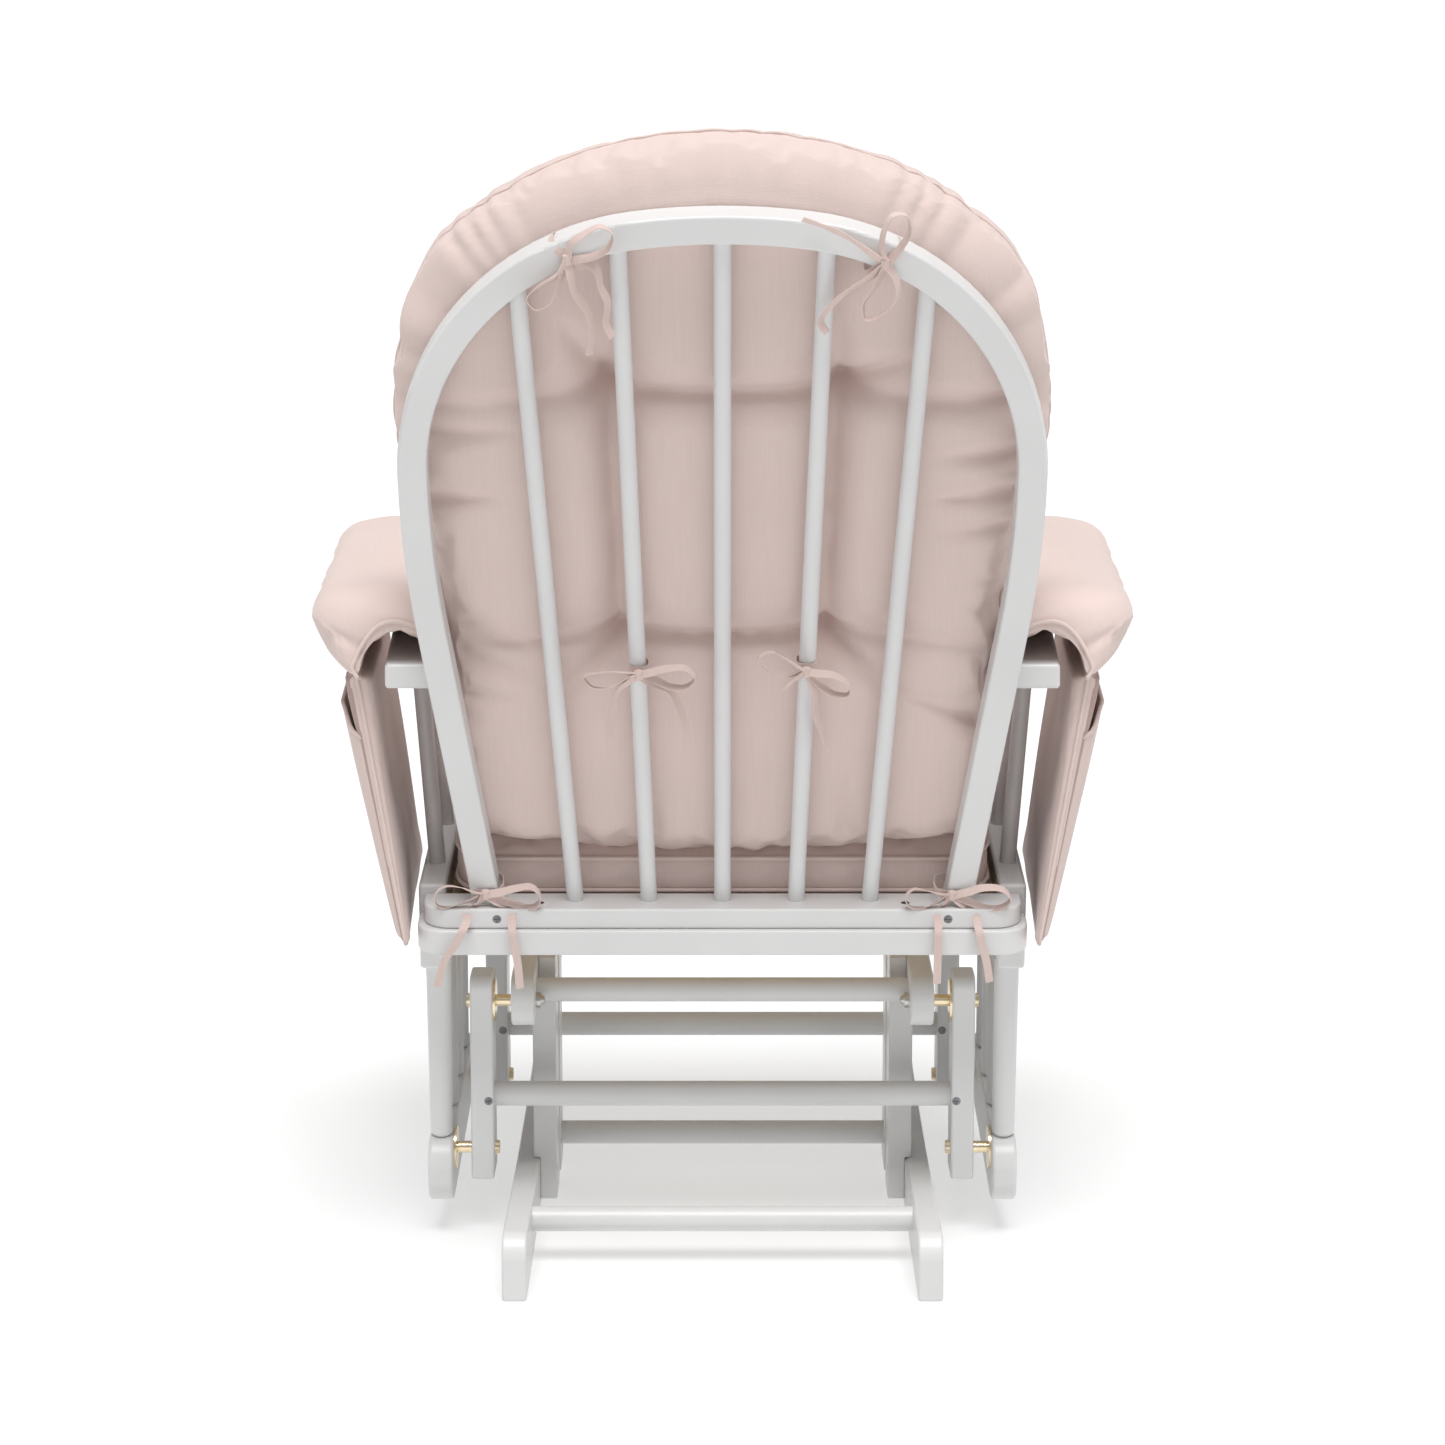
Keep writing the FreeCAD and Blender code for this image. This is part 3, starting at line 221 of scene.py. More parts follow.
PAINTS = {axis: painted_wood("white_paint_" + axis.lower(), axis) for axis in "XYZ"}
CLOTH = woven_cloth("cushion_cloth", (0.66, 0.532, 0.494), (0.715, 0.584, 0.544),
                    pitch=0.9 * MM, depth=0.10 * MM)
PIPING_CLOTH = woven_cloth("piping_cloth", (0.66, 0.535, 0.497), (0.73, 0.60, 0.56),
                           pitch=0.7 * MM, depth=0.06 * MM)
# A darker cloth for the inner faces of the pocket panels: painted shade for the shadow inside the
# pocket, not a lining of another colour.
POCKET_INNER_SHADE_CLOTH = woven_cloth("pocket_inner_painted_shade", (0.40, 0.285, 0.255), (0.46, 0.335, 0.30),
                           pitch=0.9 * MM, depth=0.10 * MM)
RIBBON_CLOTH = woven_cloth("ribbon_cloth", (0.62, 0.49, 0.45), (0.70, 0.565, 0.52),
                           pitch=0.45 * MM, depth=0.05 * MM)
FINISHES = {
    "plywood": plywood("birch_plywood"),
    "brass_plate": metal("brass_plate", (0.80, 0.66, 0.42), (0.93, 0.80, 0.58), 0.16, 0.30),
    "nickel": metal("nickel_plate", (0.50, 0.49, 0.47), (0.68, 0.67, 0.64), 0.18, 0.34),
    "dark_steel": metal("zinc_steel", (0.16, 0.16, 0.17), (0.30, 0.30, 0.31), 0.28, 0.45),
}
GRAIN_ALONG_Y = ("foot_", "hanger_rail_", "lower_rail_", "side_rail_", "arm_left", "arm_right",
                 "deck_cleats")
GRAIN_ALONG_X = ("upper_rear_dowel", "upper_front_dowel", "lower_rear_dowel", "lower_middle_dowel",
                 "rear_link_dowel", "front_link_dowel", "front_seat_rail", "rear_seat_rail",
                 "back_rail")
METAL_PARTS = {"_screws": "dark_steel", "hanger_bolts": "brass_plate", "_swing_pins": "brass_plate",
               "_bushes": "brass_plate", "hanger_nuts": "nickel", "seat_deck": "plywood"}


def finish_for(node):
    """The material that a CAD node is made of."""
    for ending, slot in METAL_PARTS.items():
        if node.endswith(ending):
            return FINISHES[slot]
    if node.startswith(GRAIN_ALONG_Y):
        return PAINTS["Y"]
    if node.startswith(GRAIN_ALONG_X):
        return PAINTS["X"]
    return PAINTS["Z"]


for node_name, node in NODES.items():
    node.data.materials.clear()
    node.data.materials.append(finish_for(node_name))

# ---- mesh helpers

BACK_VOXEL = 5.5 * MM
SEAT_VOXEL = 6 * MM
BATCH = 4000


def new_piece(name, points, faces, material, matrix=WORLD, smooth=True):
    """A mesh object whose points are in the given frame."""
    mesh = bpy.data.meshes.new(name)
    mesh.from_pydata([tuple(point) for point in points], [], faces)
    mesh.materials.append(material)
    if smooth:
        mesh.shade_smooth()
    piece = bpy.data.objects.new(name, mesh)
    bpy.context.scene.collection.objects.link(piece)
    piece.matrix_world = matrix
    return piece


def coordinates(mesh):
    found = np.zeros(len(mesh.vertices) * 3)
    mesh.vertices.foreach_get("co", found)
    return found.reshape(-1, 3)


def set_coordinates(mesh, points):
    mesh.vertices.foreach_set("co", np.asarray(points, float).ravel())
    mesh.update()


def apply_modifiers(piece):
    """Makes what the modifiers show the piece's own mesh."""
    depsgraph = bpy.context.evaluated_depsgraph_get()
    mesh = bpy.data.meshes.new_from_object(piece.evaluated_get(depsgraph))
    piece.modifiers.clear()
    piece.data = mesh
    piece.data.shade_smooth()


def remesh(piece, voxel):
    modifier = piece.modifiers.new("Remesh", "REMESH")
    modifier.mode = "VOXEL"
    modifier.voxel_size = voxel
    apply_modifiers(piece)


def subdivide(piece, levels=1):
    modifier = piece.modifiers.new("Subdivision", "SUBSURF")
    modifier.levels = levels
    modifier.render_levels = levels
    apply_modifiers(piece)


def end_cap(first, count):
    """Strips of quads that close one ring, joined across from its first point to its last."""
    strips = []
    for step in range((count - 1) // 2):
        far = first + count - 1 - step
        corners = (first + step, first + step + 1, far - 1, far)
        strips.append(tuple(dict.fromkeys(corners)))
    return strips


def loft(rings, closed=False):
    """Points and faces of a tube through rings of equal size, capped, or closed to a loop."""
    count = len(rings[0])
    points = [point for ring in rings for point in ring]
    faces = []
    for row in range(len(rings) - (0 if closed else 1)):
        here = row * count
        there = (row + 1) % len(rings) * count
        for index in range(count):
            after = (index + 1) % count
            faces.append((here + index, here + after, there + after, there + index))
    if not closed:
        faces += [face[::-1] for face in end_cap(0, count)]
        faces += end_cap((len(rings) - 1) * count, count)
    return points, faces


def facing_out(rings, side):
    """The rings in the order that turns their faces outwards on the mirrored side too."""
    return [ring[::-1] for ring in rings] if side < 0 else rings


STEPS_A_SPAN = 16


def evenly_spaced(curve, count, closed):
    """Points at equal distances along a run. A closed run ends where it starts."""
    steps = np.linalg.norm(np.diff(curve, axis=0), axis=1)
    travelled = np.concatenate(([0], np.cumsum(steps)))
    wanted = np.linspace(0, travelled[-1], count, endpoint=not closed)
    return np.stack([np.interp(wanted, travelled, curve[:, axis]) for axis in range(3)], axis=1)


def smooth_line(points, count, closed=False):
    """Evenly spaced points on a smooth curve through a few points, however unevenly they lie."""
    given = np.asarray([tuple(point) for point in points], float)
    if closed:
        run = np.concatenate((given[-1:], given, given[:2]))
    else:
        run = np.concatenate((2 * given[:1] - given[1:2], given, 2 * given[-1:] - given[-2:-1]))
    gaps = np.linalg.norm(np.diff(run, axis=0), axis=1)[:, None]
    slopes = np.diff(run, axis=0) / gaps
    turns = (slopes[:-1] * gaps[1:] + slopes[1:] * gaps[:-1]) / (gaps[:-1] + gaps[1:])
    part = np.linspace(0, 1, STEPS_A_SPAN, endpoint=False)[:, None]
    curve = []
    for span in range(len(turns) - 1):
        start, end, gap = run[span + 1], run[span + 2], gaps[span + 1]
        curve.append((2 * part ** 3 - 3 * part ** 2 + 1) * start
                     + (part ** 3 - 2 * part ** 2 + part) * gap * turns[span]
                     + (3 * part ** 2 - 2 * part ** 3) * end
                     + (part ** 3 - part ** 2) * gap * turns[span + 1])
    curve.append(given[:1] if closed else given[-1:])
    return evenly_spaced(np.concatenate(curve), count, closed)


def portion(distance, run):
    """From 0 to 1 over a run, and level beyond both ends."""
    return np.clip(distance / run, 0, 1)


def tangents(line, closed=False):
    if closed:
        ahead = np.roll(line, -1, axis=0) - np.roll(line, 1, axis=0)
    else:
        ahead = np.gradient(line, axis=0)
    return ahead / np.linalg.norm(ahead, axis=1)[:, None]


def tube(name, line, radius, material, matrix=WORLD, closed=False, sides=8):
    """A round cord along a line, such as piping."""
    along = tangents(line, closed)
    lift = np.array([0.0, 0.0, 1.0])
    rings = []
    for point, direction in zip(line, along):
        across = np.cross(direction, lift)
        if np.linalg.norm(across) < 1e-4:
            across = np.array([1.0, 0.0, 0.0])
        across = across / np.linalg.norm(across)
        lift = np.cross(across, direction)
        lift = lift / np.linalg.norm(lift)
        rings.append([point + radius * (math.cos(turn) * across + math.sin(turn) * lift)
                      for turn in np.linspace(0, math.tau, sides, endpoint=False)])
    points, faces = loft(rings, closed)
    return new_piece(name, points, faces, material, matrix)


SIMULATED_FRAMES = 20


def piping(name, line, radius, matrix=WORLD, closed=False):
    return give_body(tube(name, line, radius, PIPING_CLOTH, matrix, closed), "cushion_fabric")


def inflate(piece, pinned, pressure, cap, give):
    """Fills a closed piece by cloth simulation.

    Pinned points stay, no point travels further than the cap, and a negative give lets the cloth
    grow by that share.
    """
    group = piece.vertex_groups.new(name="sewn")
    for weight in np.unique(pinned):
        chosen = np.nonzero(pinned == weight)[0].tolist()
        group.add(chosen, float(weight), "REPLACE")
    before = coordinates(piece.data)
    cloth = piece.modifiers.new("Cloth", "CLOTH")
    cloth.settings.vertex_group_mass = "sewn"
    cloth.settings.effector_weights.gravity = 0
    cloth.settings.use_pressure = True
    cloth.settings.uniform_pressure_force = pressure
    cloth.settings.shrink_min = give
    cloth.settings.tension_stiffness = 15
    cloth.settings.compression_stiffness = 15
    cloth.settings.bending_stiffness = 0.4
    cloth.collision_settings.use_collision = False
    scene = bpy.context.scene
    for number in range(1, SIMULATED_FRAMES + 1):
        scene.frame_set(number)
    depsgraph = bpy.context.evaluated_depsgraph_get()
    swollen = piece.evaluated_get(depsgraph).to_mesh()
    after = coordinates(swollen)
    piece.evaluated_get(depsgraph).to_mesh_clear()
    piece.modifiers.clear()
    scene.frame_set(1)
    moved = after - before
    far = np.linalg.norm(moved, axis=1)
    moved *= (np.minimum(far, cap) / np.maximum(far, 1e-9))[:, None]
    set_coordinates(piece.data, before + moved)


def padded_cover(piece, fill, *replaced):
    give_body(piece, "cushion_fabric", *replaced)


def give_body(piece, slot, *replaced):
    """Gives a soft piece its body. All of them ride on the seat. The slot is not used."""
    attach(piece, "seat")
    if replaced:
        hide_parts(*replaced)
    return piece


# ---- back cushion

REAR_FACE = 27.6 * MM
FRONT_FACE = 116 * MM
SEAM_DEPTH = 70 * MM
TUFT_LOW = (89 * MM, 257 * MM)
TUFT_HIGH = (98 * MM, 488 * MM)
CUSHION_EDGE = ((236, 47), (250, 120), (251, 165), (246, 215), (249, 260), (265, 335), (284, 420),
                (286, 462), (280, 515), (267, 570), (240, 614), (190, 657), (148, 681), (76, 705))
CROWN = 714
FOOT_CORNERS = ((-1, 5, 5), (-1, 18, 9), (1, 18, 9), (1, 5, 5))
CUSHION_LAYERS = ((REAR_FACE, 35), (REAR_FACE + 4 * MM, 22), (REAR_FACE + 14 * MM, 12),
                  (SEAM_DEPTH - 12 * MM, 7), (SEAM_DEPTH, 5), (SEAM_DEPTH + 14 * MM, 8),
                  (FRONT_FACE - 16 * MM, 18), (FRONT_FACE - 4 * MM, 31), (FRONT_FACE, 47))
GATHER_PITCH = 0.041


def cushion_outline(spacing):
    """The back cushion seen square on, as evenly spaced (x, z) points, from the left foot round."""
    left = [(x * MM, z * MM) for x, z in CUSHION_EDGE]
    right = [(-x, z) for x, z in reversed(left)]
    foot_x, foot_z = left[0]
    foot = [(side * (foot_x - inset * MM), foot_z - drop * MM)
            for side, inset, drop in FOOT_CORNERS]
    run = left + [(0.0, CROWN * MM)] + right + foot
    corners = [(x, 0.0, z) for x, z in run]
    rough = smooth_line(corners, 400, closed=True)
    length = np.linalg.norm(np.roll(rough, -1, axis=0) - rough, axis=1).sum()
    return smooth_line(corners, int(length / spacing), closed=True)[:, (0, 2)]


def outward(outline):
    """Unit normals that point out of a closed outline in the (x, z) plane."""
    ahead = np.roll(outline, -1, axis=0) - np.roll(outline, 1, axis=0)
    normal = np.stack([ahead[:, 1], -ahead[:, 0]], axis=1)
    return normal / np.linalg.norm(normal, axis=1)[:, None]


def gathers(travelled):
    """Height of the puckers along the sewn edge: round lobes of uneven width between notches."""
    phase = (travelled / GATHER_PITCH + 0.55 * np.sin(travelled * 29 + 1.0)
             + 0.35 * np.sin(travelled * 47 + 2.0))
    swell = 0.65 + 0.35 * np.sin(travelled * 13 + 0.7)
    return np.abs(np.sin(math.pi * phase)) * swell


def pucker(travelled):
    """How far the sewn edge stands out from its outline."""
    return (3.4 * gathers(travelled) - 2.2) * MM


def way_round(outline):
    """The distance along a closed outline to each of its points."""
    lengths = np.linalg.norm(np.roll(outline, -1, axis=0) - outline, axis=1)
    return np.concatenate(([0], np.cumsum(lengths)))[:-1]


def back_cushion_shell():
    """The cushion before it is filled: stacked outlines from the rear face to the front face."""
    outline = cushion_outline(9 * MM)
    normal = outward(outline)
    rings = []
    for depth, inset in CUSHION_LAYERS:
        edge = outline - normal * inset * MM
        rings.append([(x, -depth, z) for x, z in edge])
    return loft(rings)


def seam_distance(x, z):
    """How far points are from the sewn channels, and from the four tufts."""
    slope = (TUFT_HIGH[0] - TUFT_LOW[0]) / (TUFT_HIGH[1] - TUFT_LOW[1])
    across = np.abs(np.abs(x) - (TUFT_LOW[0] + slope * (z - TUFT_LOW[1])))
    beyond = np.maximum(np.maximum(TUFT_LOW[1] - z, z - TUFT_HIGH[1]), 0)
    upright = across + 0.55 * beyond
    level = np.full_like(x, 1.0)
    for tuft_x, tuft_z in (TUFT_LOW, TUFT_HIGH):
        sag = 5 * MM * (1 - np.minimum(np.abs(x) / tuft_x, 1) ** 2)
        outside = np.maximum(np.abs(x) - tuft_x, 0)
        line = tuft_z - sag - 0.10 * outside
        level = np.minimum(level, np.abs(z - line) + 0.16 * outside)
    tuft = np.full_like(x, 1.0)
    for tuft_x, tuft_z in (TUFT_LOW, TUFT_HIGH):
        tuft = np.minimum(tuft, np.hypot(np.abs(x) - tuft_x, z - tuft_z))
    return np.minimum(upright, level), tuft


def edge_place(x, z, outline):
    """For each point, how far it lies outside the outline, its way round it, and the normal."""
    normal = outward(outline)
    nearest = np.empty(len(x), int)
    for start in range(0, len(x), BATCH):
        part = slice(start, start + BATCH)
        gap = np.hypot(x[part, None] - outline[None, :, 0], z[part, None] - outline[None, :, 1])
        nearest[part] = gap.argmin(axis=1)
    offset = np.stack([x, z], axis=1) - outline[nearest]
    beyond = (offset * normal[nearest]).sum(axis=1)
    return beyond, way_round(outline)[nearest], normal[nearest]


# Soft folds of both faces, each from its deep end to its faint end: x, z, x, z, depth and width,
# in mm before FOLD_GAIN deepens them.
FOLDS = (
    (252, 448, 175, 452, 4.5, 10), (254, 386, 181, 391, 6, 10), (242, 268, 179, 246, 6, 10),
    (232, 236, 162, 216, 4.5, 12), (229, 196, 158, 189, 3.5, 12), (-250, 480, -157, 478, 5, 10),
    (-254, 429, -171, 426, 6, 10), (-254, 393, -172, 386, 7, 9), (-252, 360, -173, 354, 6, 9),
    (-252, 313, -226, 307, 5, 8), (-222, 170, -158, 196, 6, 11), (-144, 266, -113, 274, 4, 12),
    (99, 492, 134, 553, 8, 13), (-101, 489, -165, 523, 9, 11), (91, 251, 143, 196, 8, 13),
    (-91, 254, -145, 204, 9, 11), (96, 500, 92, 590, 4, 16), (-96, 500, -92, 590, 4, 16),
    (60, 60, 66, 150, 3, 14), (-110, 60, -96, 170, 3, 14),
)
FOLD_GAIN = 3.6
# Valleys beside a seam or tuft: depth and reach.
BROAD_VALLEY = (20 * MM, 21 * MM)
STITCH_VALLEY = (10 * MM, 5 * MM)
TUFT_VALLEY = (10 * MM, 18 * MM)
UPPER_FROM = 370 * MM
UPPER_RUN = 110 * MM


def fold_depth(x, z):
    """How deep the soft folds are at each point."""
    total = np.zeros_like(x)
    for x_from, z_from, x_to, z_to, depth, width in FOLDS:
        run = np.array([x_to - x_from, z_to - z_from]) * MM
        offset_x = x - x_from * MM
        offset_z = z - z_from * MM
        share = portion(offset_x * run[0] + offset_z * run[1], run @ run)
        away = np.hypot(offset_x - share * run[0], offset_z - share * run[1])
        total += depth * MM * (1 - 0.75 * share) * np.exp(-away / (0.85 * width * MM))
    return total


def upper_share(z):
    """From 0 in the lower part of the cushion to 1 in the upper part, which is rounder."""
    return portion(z - UPPER_FROM, UPPER_RUN)


def valley(distance, form):
    depth, reach = form
    return depth * np.exp(-distance / reach)


def quilt_depth(x, z, beyond, around):
    """How far the face of the cushion lies under the tops of its pillows."""
    seam, tuft = seam_distance(x, z)
    notch = 1 - gathers(around)
    depth = valley(seam, BROAD_VALLEY) + valley(seam, STITCH_VALLEY)
    depth += valley(tuft, TUFT_VALLEY) + FOLD_GAIN * fold_depth(x, z)
    upper = upper_share(z)
    near_edge = np.clip(1 + beyond / ((22 + 44 * upper) * MM), 0, 1)
    depth += (20 + 20 * upper) * MM * (1 - np.sqrt(1 - near_edge ** 2))
    depth += notch * MM * (4.5 * np.exp(-(beyond / (30 * MM)) ** 2)
                           + 3.0 * np.exp(-(beyond / (85 * MM)) ** 2))
    return depth


def back_cushion():
    """A tufted cushion, gathered along its edge seam and sewn through along four channels."""
    points, faces = back_cushion_shell()
    piece = new_piece("back_cushion_cover", points, faces, CLOTH, BACK)
    remesh(piece, BACK_VOXEL)
    outline = cushion_outline(2 * MM)
    place = coordinates(piece.data)
    x, y, z = place.T
    seam, tuft = seam_distance(x, z)
    beyond = edge_place(x, z, outline)[0]
    rear = np.clip((SEAM_DEPTH + y) / (SEAM_DEPTH - REAR_FACE), -1, 1)
    face = np.abs(rear) ** 0.5 * np.sign(rear) * portion(-beyond - 4 * MM, 30 * MM)
    pull = 7 * MM * np.exp(-(seam / (9 * MM)) ** 2) + 9 * MM * np.exp(-(tuft / (20 * MM)) ** 2)
    place[:, 1] = y - pull * face
    set_coordinates(piece.data, place)
    sewn = (tuft < 6 * MM) & (np.abs(face) > 0.6)
    hem = (np.abs(y + SEAM_DEPTH) < 4 * MM) & (beyond > -9 * MM)
    inflate(piece, np.where(sewn | hem, 1.0, 0.0), pressure=3.2, cap=24 * MM, give=-0.04)
    shape_back_cushion(piece, outline)
    subdivide(piece)
    padded_cover(piece, 0.75, "back_cushion")


def shape_back_cushion(piece, outline):
    """Presses the filled cushion to its outline, quilts both faces, and rests it on the hoop."""
    x, y, z = coordinates(piece.data).T
    beyond, around, normal = edge_place(x, z, outline)
    from_seam = np.abs(y + SEAM_DEPTH)
    furthest = -2 * MM - 19 * MM * (from_seam / (45 * MM)) ** 2.2
    shift = np.minimum(furthest - beyond, 0)
    fading = np.exp(np.minimum(beyond + shift, 0) / (22 * MM))
    shift += pucker(around) * fading * (0.4 + 0.6 * np.exp(-(from_seam / (26 * MM)) ** 2))
    x = x + normal[:, 0] * shift
    z = z + normal[:, 1] * shift
    beyond = beyond + shift
    depth = quilt_depth(x, z, beyond, around)
    bulge = 5.5 * MM * portion(-beyond - (20 + 25 * upper_share(z)) * MM, 30 * MM)
    rear_limit = -REAR_FACE - np.maximum(depth - bulge, 0)
    front_limit = -FRONT_FACE - 14 * MM + 1.4 * depth
    y = np.clip(y, np.minimum(front_limit, rear_limit - 20 * MM), rear_limit)
    set_coordinates(piece.data, np.stack([x, y, z], axis=1))


def edge_piping():
    """The thin piping sewn into the edge seam of the back cushion."""
    outline = cushion_outline(4 * MM)
    normal = outward(outline)
    travelled = way_round(outline)
    edge = outline + normal * (pucker(travelled) * 0.8 - 5.3 * MM)[:, None]
    wander = 2 * MM * np.sin(travelled * 31)
    line = np.stack([edge[:, 0], -SEAM_DEPTH + wander, edge[:, 1]], axis=1)
    piping("back_cushion_piping", line, 1.3 * MM, BACK, closed=True)


# ---- seat cushion

SEAT_FLOOR = 248.6 * MM
SEAT_REAR = 33 * MM
SEAT_FRONT = -400 * MM
SEAT_HALF = 244 * MM
SEAT_REAR_THICK = 60 * MM
SEAT_THICK = 86 * MM
SEAT_CORNER = 34 * MM


def seat_outline(inset, spacing=9 * MM):
    """A rectangle with round corners, as evenly spaced (x, y) points."""
    half = SEAT_HALF - inset
    rear = SEAT_REAR - inset
    front = SEAT_FRONT + inset
    corner = max(SEAT_CORNER - inset, 6 * MM)
    points = []
    for middle_x, middle_y, start in ((half - corner, rear - corner, 0),
                                      (corner - half, rear - corner, 1),
                                      (corner - half, front + corner, 2),
                                      (half - corner, front + corner, 3)):
        for turn in np.linspace(0, math.pi / 2, 5):
            angle = start * math.pi / 2 + turn
            points.append((middle_x + corner * math.cos(angle),
                           middle_y + corner * math.sin(angle), 0))
    count = int(2 * (2 * SEAT_HALF + SEAT_REAR - SEAT_FRONT) / spacing)
    return evenly_spaced(np.asarray(points + points[:1], float), count, closed=True)


def seat_thickness(y):
    """The seat cushion is thinner at the back, where the back cushion stands on it."""
    share = portion(SEAT_REAR - y, 130 * MM)
    return SEAT_REAR_THICK + (SEAT_THICK - SEAT_REAR_THICK) * share ** 0.8


def seat_ring(inset, height):
    """One outline of the cushion at a share of its thickness."""
    ring = seat_outline(inset)
    ring[:, 2] = SEAT_FLOOR + height * seat_thickness(ring[:, 1])
    return ring


LOW_SEAM = 0.28
HIGH_SEAM = 0.78
SEAT_LAYERS = ((0.0, 25), (0.06, 12), (0.18, 5.5), (LOW_SEAM, 3.5), (0.5, 2.5), (HIGH_SEAM, 3.5),
               (0.9, 6), (0.98, 15), (1.0, 29))


def seat_cushion():
    """A boxed cushion, held in along the top and bottom seams of its border, where the piping goes.
    """
    rings = [seat_ring(inset * MM, height) for height, inset in SEAT_LAYERS]
    points, faces = loft(rings)
    piece = new_piece("seat_cushion_cover", points, faces, CLOTH, SEAT)
    remesh(piece, SEAT_VOXEL)
    place = coordinates(piece.data)
    x, y, z = place.T
    share = (z - SEAT_FLOOR) / seat_thickness(y)
    to_side = np.minimum(SEAT_HALF - np.abs(x), np.minimum(SEAT_REAR - y, y - SEAT_FRONT))
    border = to_side < 8 * MM
    at_seam = np.minimum(np.abs(share - LOW_SEAM), np.abs(share - HIGH_SEAM)) < 0.05
    underneath = share < 0.12
    pinned = np.where((border & at_seam) | underneath, 1.0, 0.0)
    inflate(piece, pinned, pressure=2.6, cap=9 * MM, give=-0.01)
    place = coordinates(piece.data)
    x, y, z = place.T
    z = np.maximum(z, SEAT_FLOOR)
    crown = 7 * MM * np.cos(np.clip(x / SEAT_HALF, -1, 1) * math.pi / 2)
    crown = crown * np.clip((share - 0.9) * 10, 0, 1)
    seated = portion(SEAT_REAR - 60 * MM - y, 90 * MM)
    ripple = 1.2 * MM * np.sin(x * 61 + 2 * np.sin(y * 23)) * np.clip((share - 0.85) * 7, 0, 1)
    z = z + (crown + ripple) * seated
    set_coordinates(piece.data, np.stack([x, y, z], axis=1))
    subdivide(piece)
    padded_cover(piece, 0.7, "seat_cushion")


def seat_piping(name, height):
    """One of the two pipings round the border of the seat cushion."""
    piping(name, seat_ring(1.6 * MM, height), 2.2 * MM, SEAT, closed=True)


# ---- arm pads

ARM_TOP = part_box("arm_left")[1].z
PAD_REAR = 188 * MM
PAD_FRONT = -289 * MM
PAD_END = 48 * MM
PAD_NOSE = 58 * MM
HOLLOW = 185 * MM


# The pad's section in mm: the edge each point is placed from, its steps outwards and up.
PAD_OVER = (("inner", 1, 3), ("inner", -4, 20), ("inner", 3, 44), ("inner", 24, 59),
            ("middle", -6, 63), ("outer", -30, 61), ("outer", -5, 53), ("outer", 5, 38),
            ("outer", 0, 20), ("outer", -14, -1), ("outer", -37, -14.5))
PAD_RIM = (("inner", 3, 6), ("inner", 2, 16), ("inner", 9, 28), ("inner", 22, 35),
           ("middle", -14, 38), ("outer", -60, 36), ("outer", -50, 28), ("outer", -42, 17),
           ("outer", -36, 5), ("outer", -33, -4), ("outer", -38, -13))
PAD_FLAT = (("outer", -44, -7), ("outer", -54, 0.5), ("outer", -66, 0.8), ("middle", -14, 0.8),
            ("inner", 20, 0.8))
PAD_ARCH = (("outer", -41, 4), ("outer", -51, 19), ("outer", -66, 29), ("middle", -20, 32),
            ("inner", 16, 26))
ARM_CLEARANCE = 0.8 * MM


def blend_points(first, second, share):
    return [tuple(a + (b - a) * share for a, b in zip(one, other))
            for one, other in zip(first, second)]


def rounded(distance, reach):
    """From 0 at an end to 1 past its reach, along a quarter circle."""
    share = min(max(distance / reach, 0.0), 1.0)
    return math.sqrt(1 - (1 - share) ** 2)


def eased(start, reach, count):
    """Places that run from a round end up to its reach, closer together at the end."""
    return [start + reach * (1 - math.cos(turn)) for turn in np.linspace(0, math.pi / 2, count)]


def pad_edges(y):
    """X of the inner and outer edge of the pad at one Y. The arm splays outwards to the front."""
    share = (PAD_REAR - y) / (PAD_REAR - PAD_FRONT)
    return (250 - 8 * share) * MM, (357 + 21 * share) * MM


def pad_section(y):
    """One section of the pad: over the top from the inner side, then back underneath."""
    inner, outer = pad_edges(y)
    places = {"inner": inner, "middle": (inner + outer) / 2, "outer": outer}
    over, rim, flat, arch = (
        [(places[edge] + out * MM, ARM_TOP + up * MM) for edge, out, up in form]
        for form in (PAD_OVER, PAD_RIM, PAD_FLAT, PAD_ARCH))
    from_end = PAD_REAR - y
    under = blend_points(flat, arch, max(0.0, 1 - from_end / HOLLOW) ** 0.8)
    over = blend_points(rim, over, rounded(from_end, PAD_END))
    nose = rounded(y - PAD_FRONT, PAD_NOSE)
    reach = 0.45 + 0.55 * nose
    rise = 0.25 + 0.75 * nose
    middle_x = places["middle"] - 4 * MM
    middle_z = ARM_TOP + 24 * MM
    section = []
    for x, z in over + under:
        x = middle_x + (x - middle_x) * reach
        z = middle_z + (z - middle_z) * rise
        over_arm = nose < 1 and x < outer - 56 * MM
        section.append((x, max(z, ARM_TOP + ARM_CLEARANCE) if over_arm else z))
    return section


def pad_stations():
    """Y of each section, closer together at the ends."""
    near_rear = eased(PAD_REAR, -PAD_END, 8)
    near_front = eased(PAD_FRONT, PAD_NOSE, 9)
    between = np.linspace(near_rear[-1], near_front[-1], 24)[1:-1]
    return near_rear + list(between) + near_front[::-1]


def pad_ring(y, side, count=72):
    ring = smooth_line([(x, y, z) for x, z in pad_section(y)], count, closed=True)
    ring[:, 0] *= side
    return ring


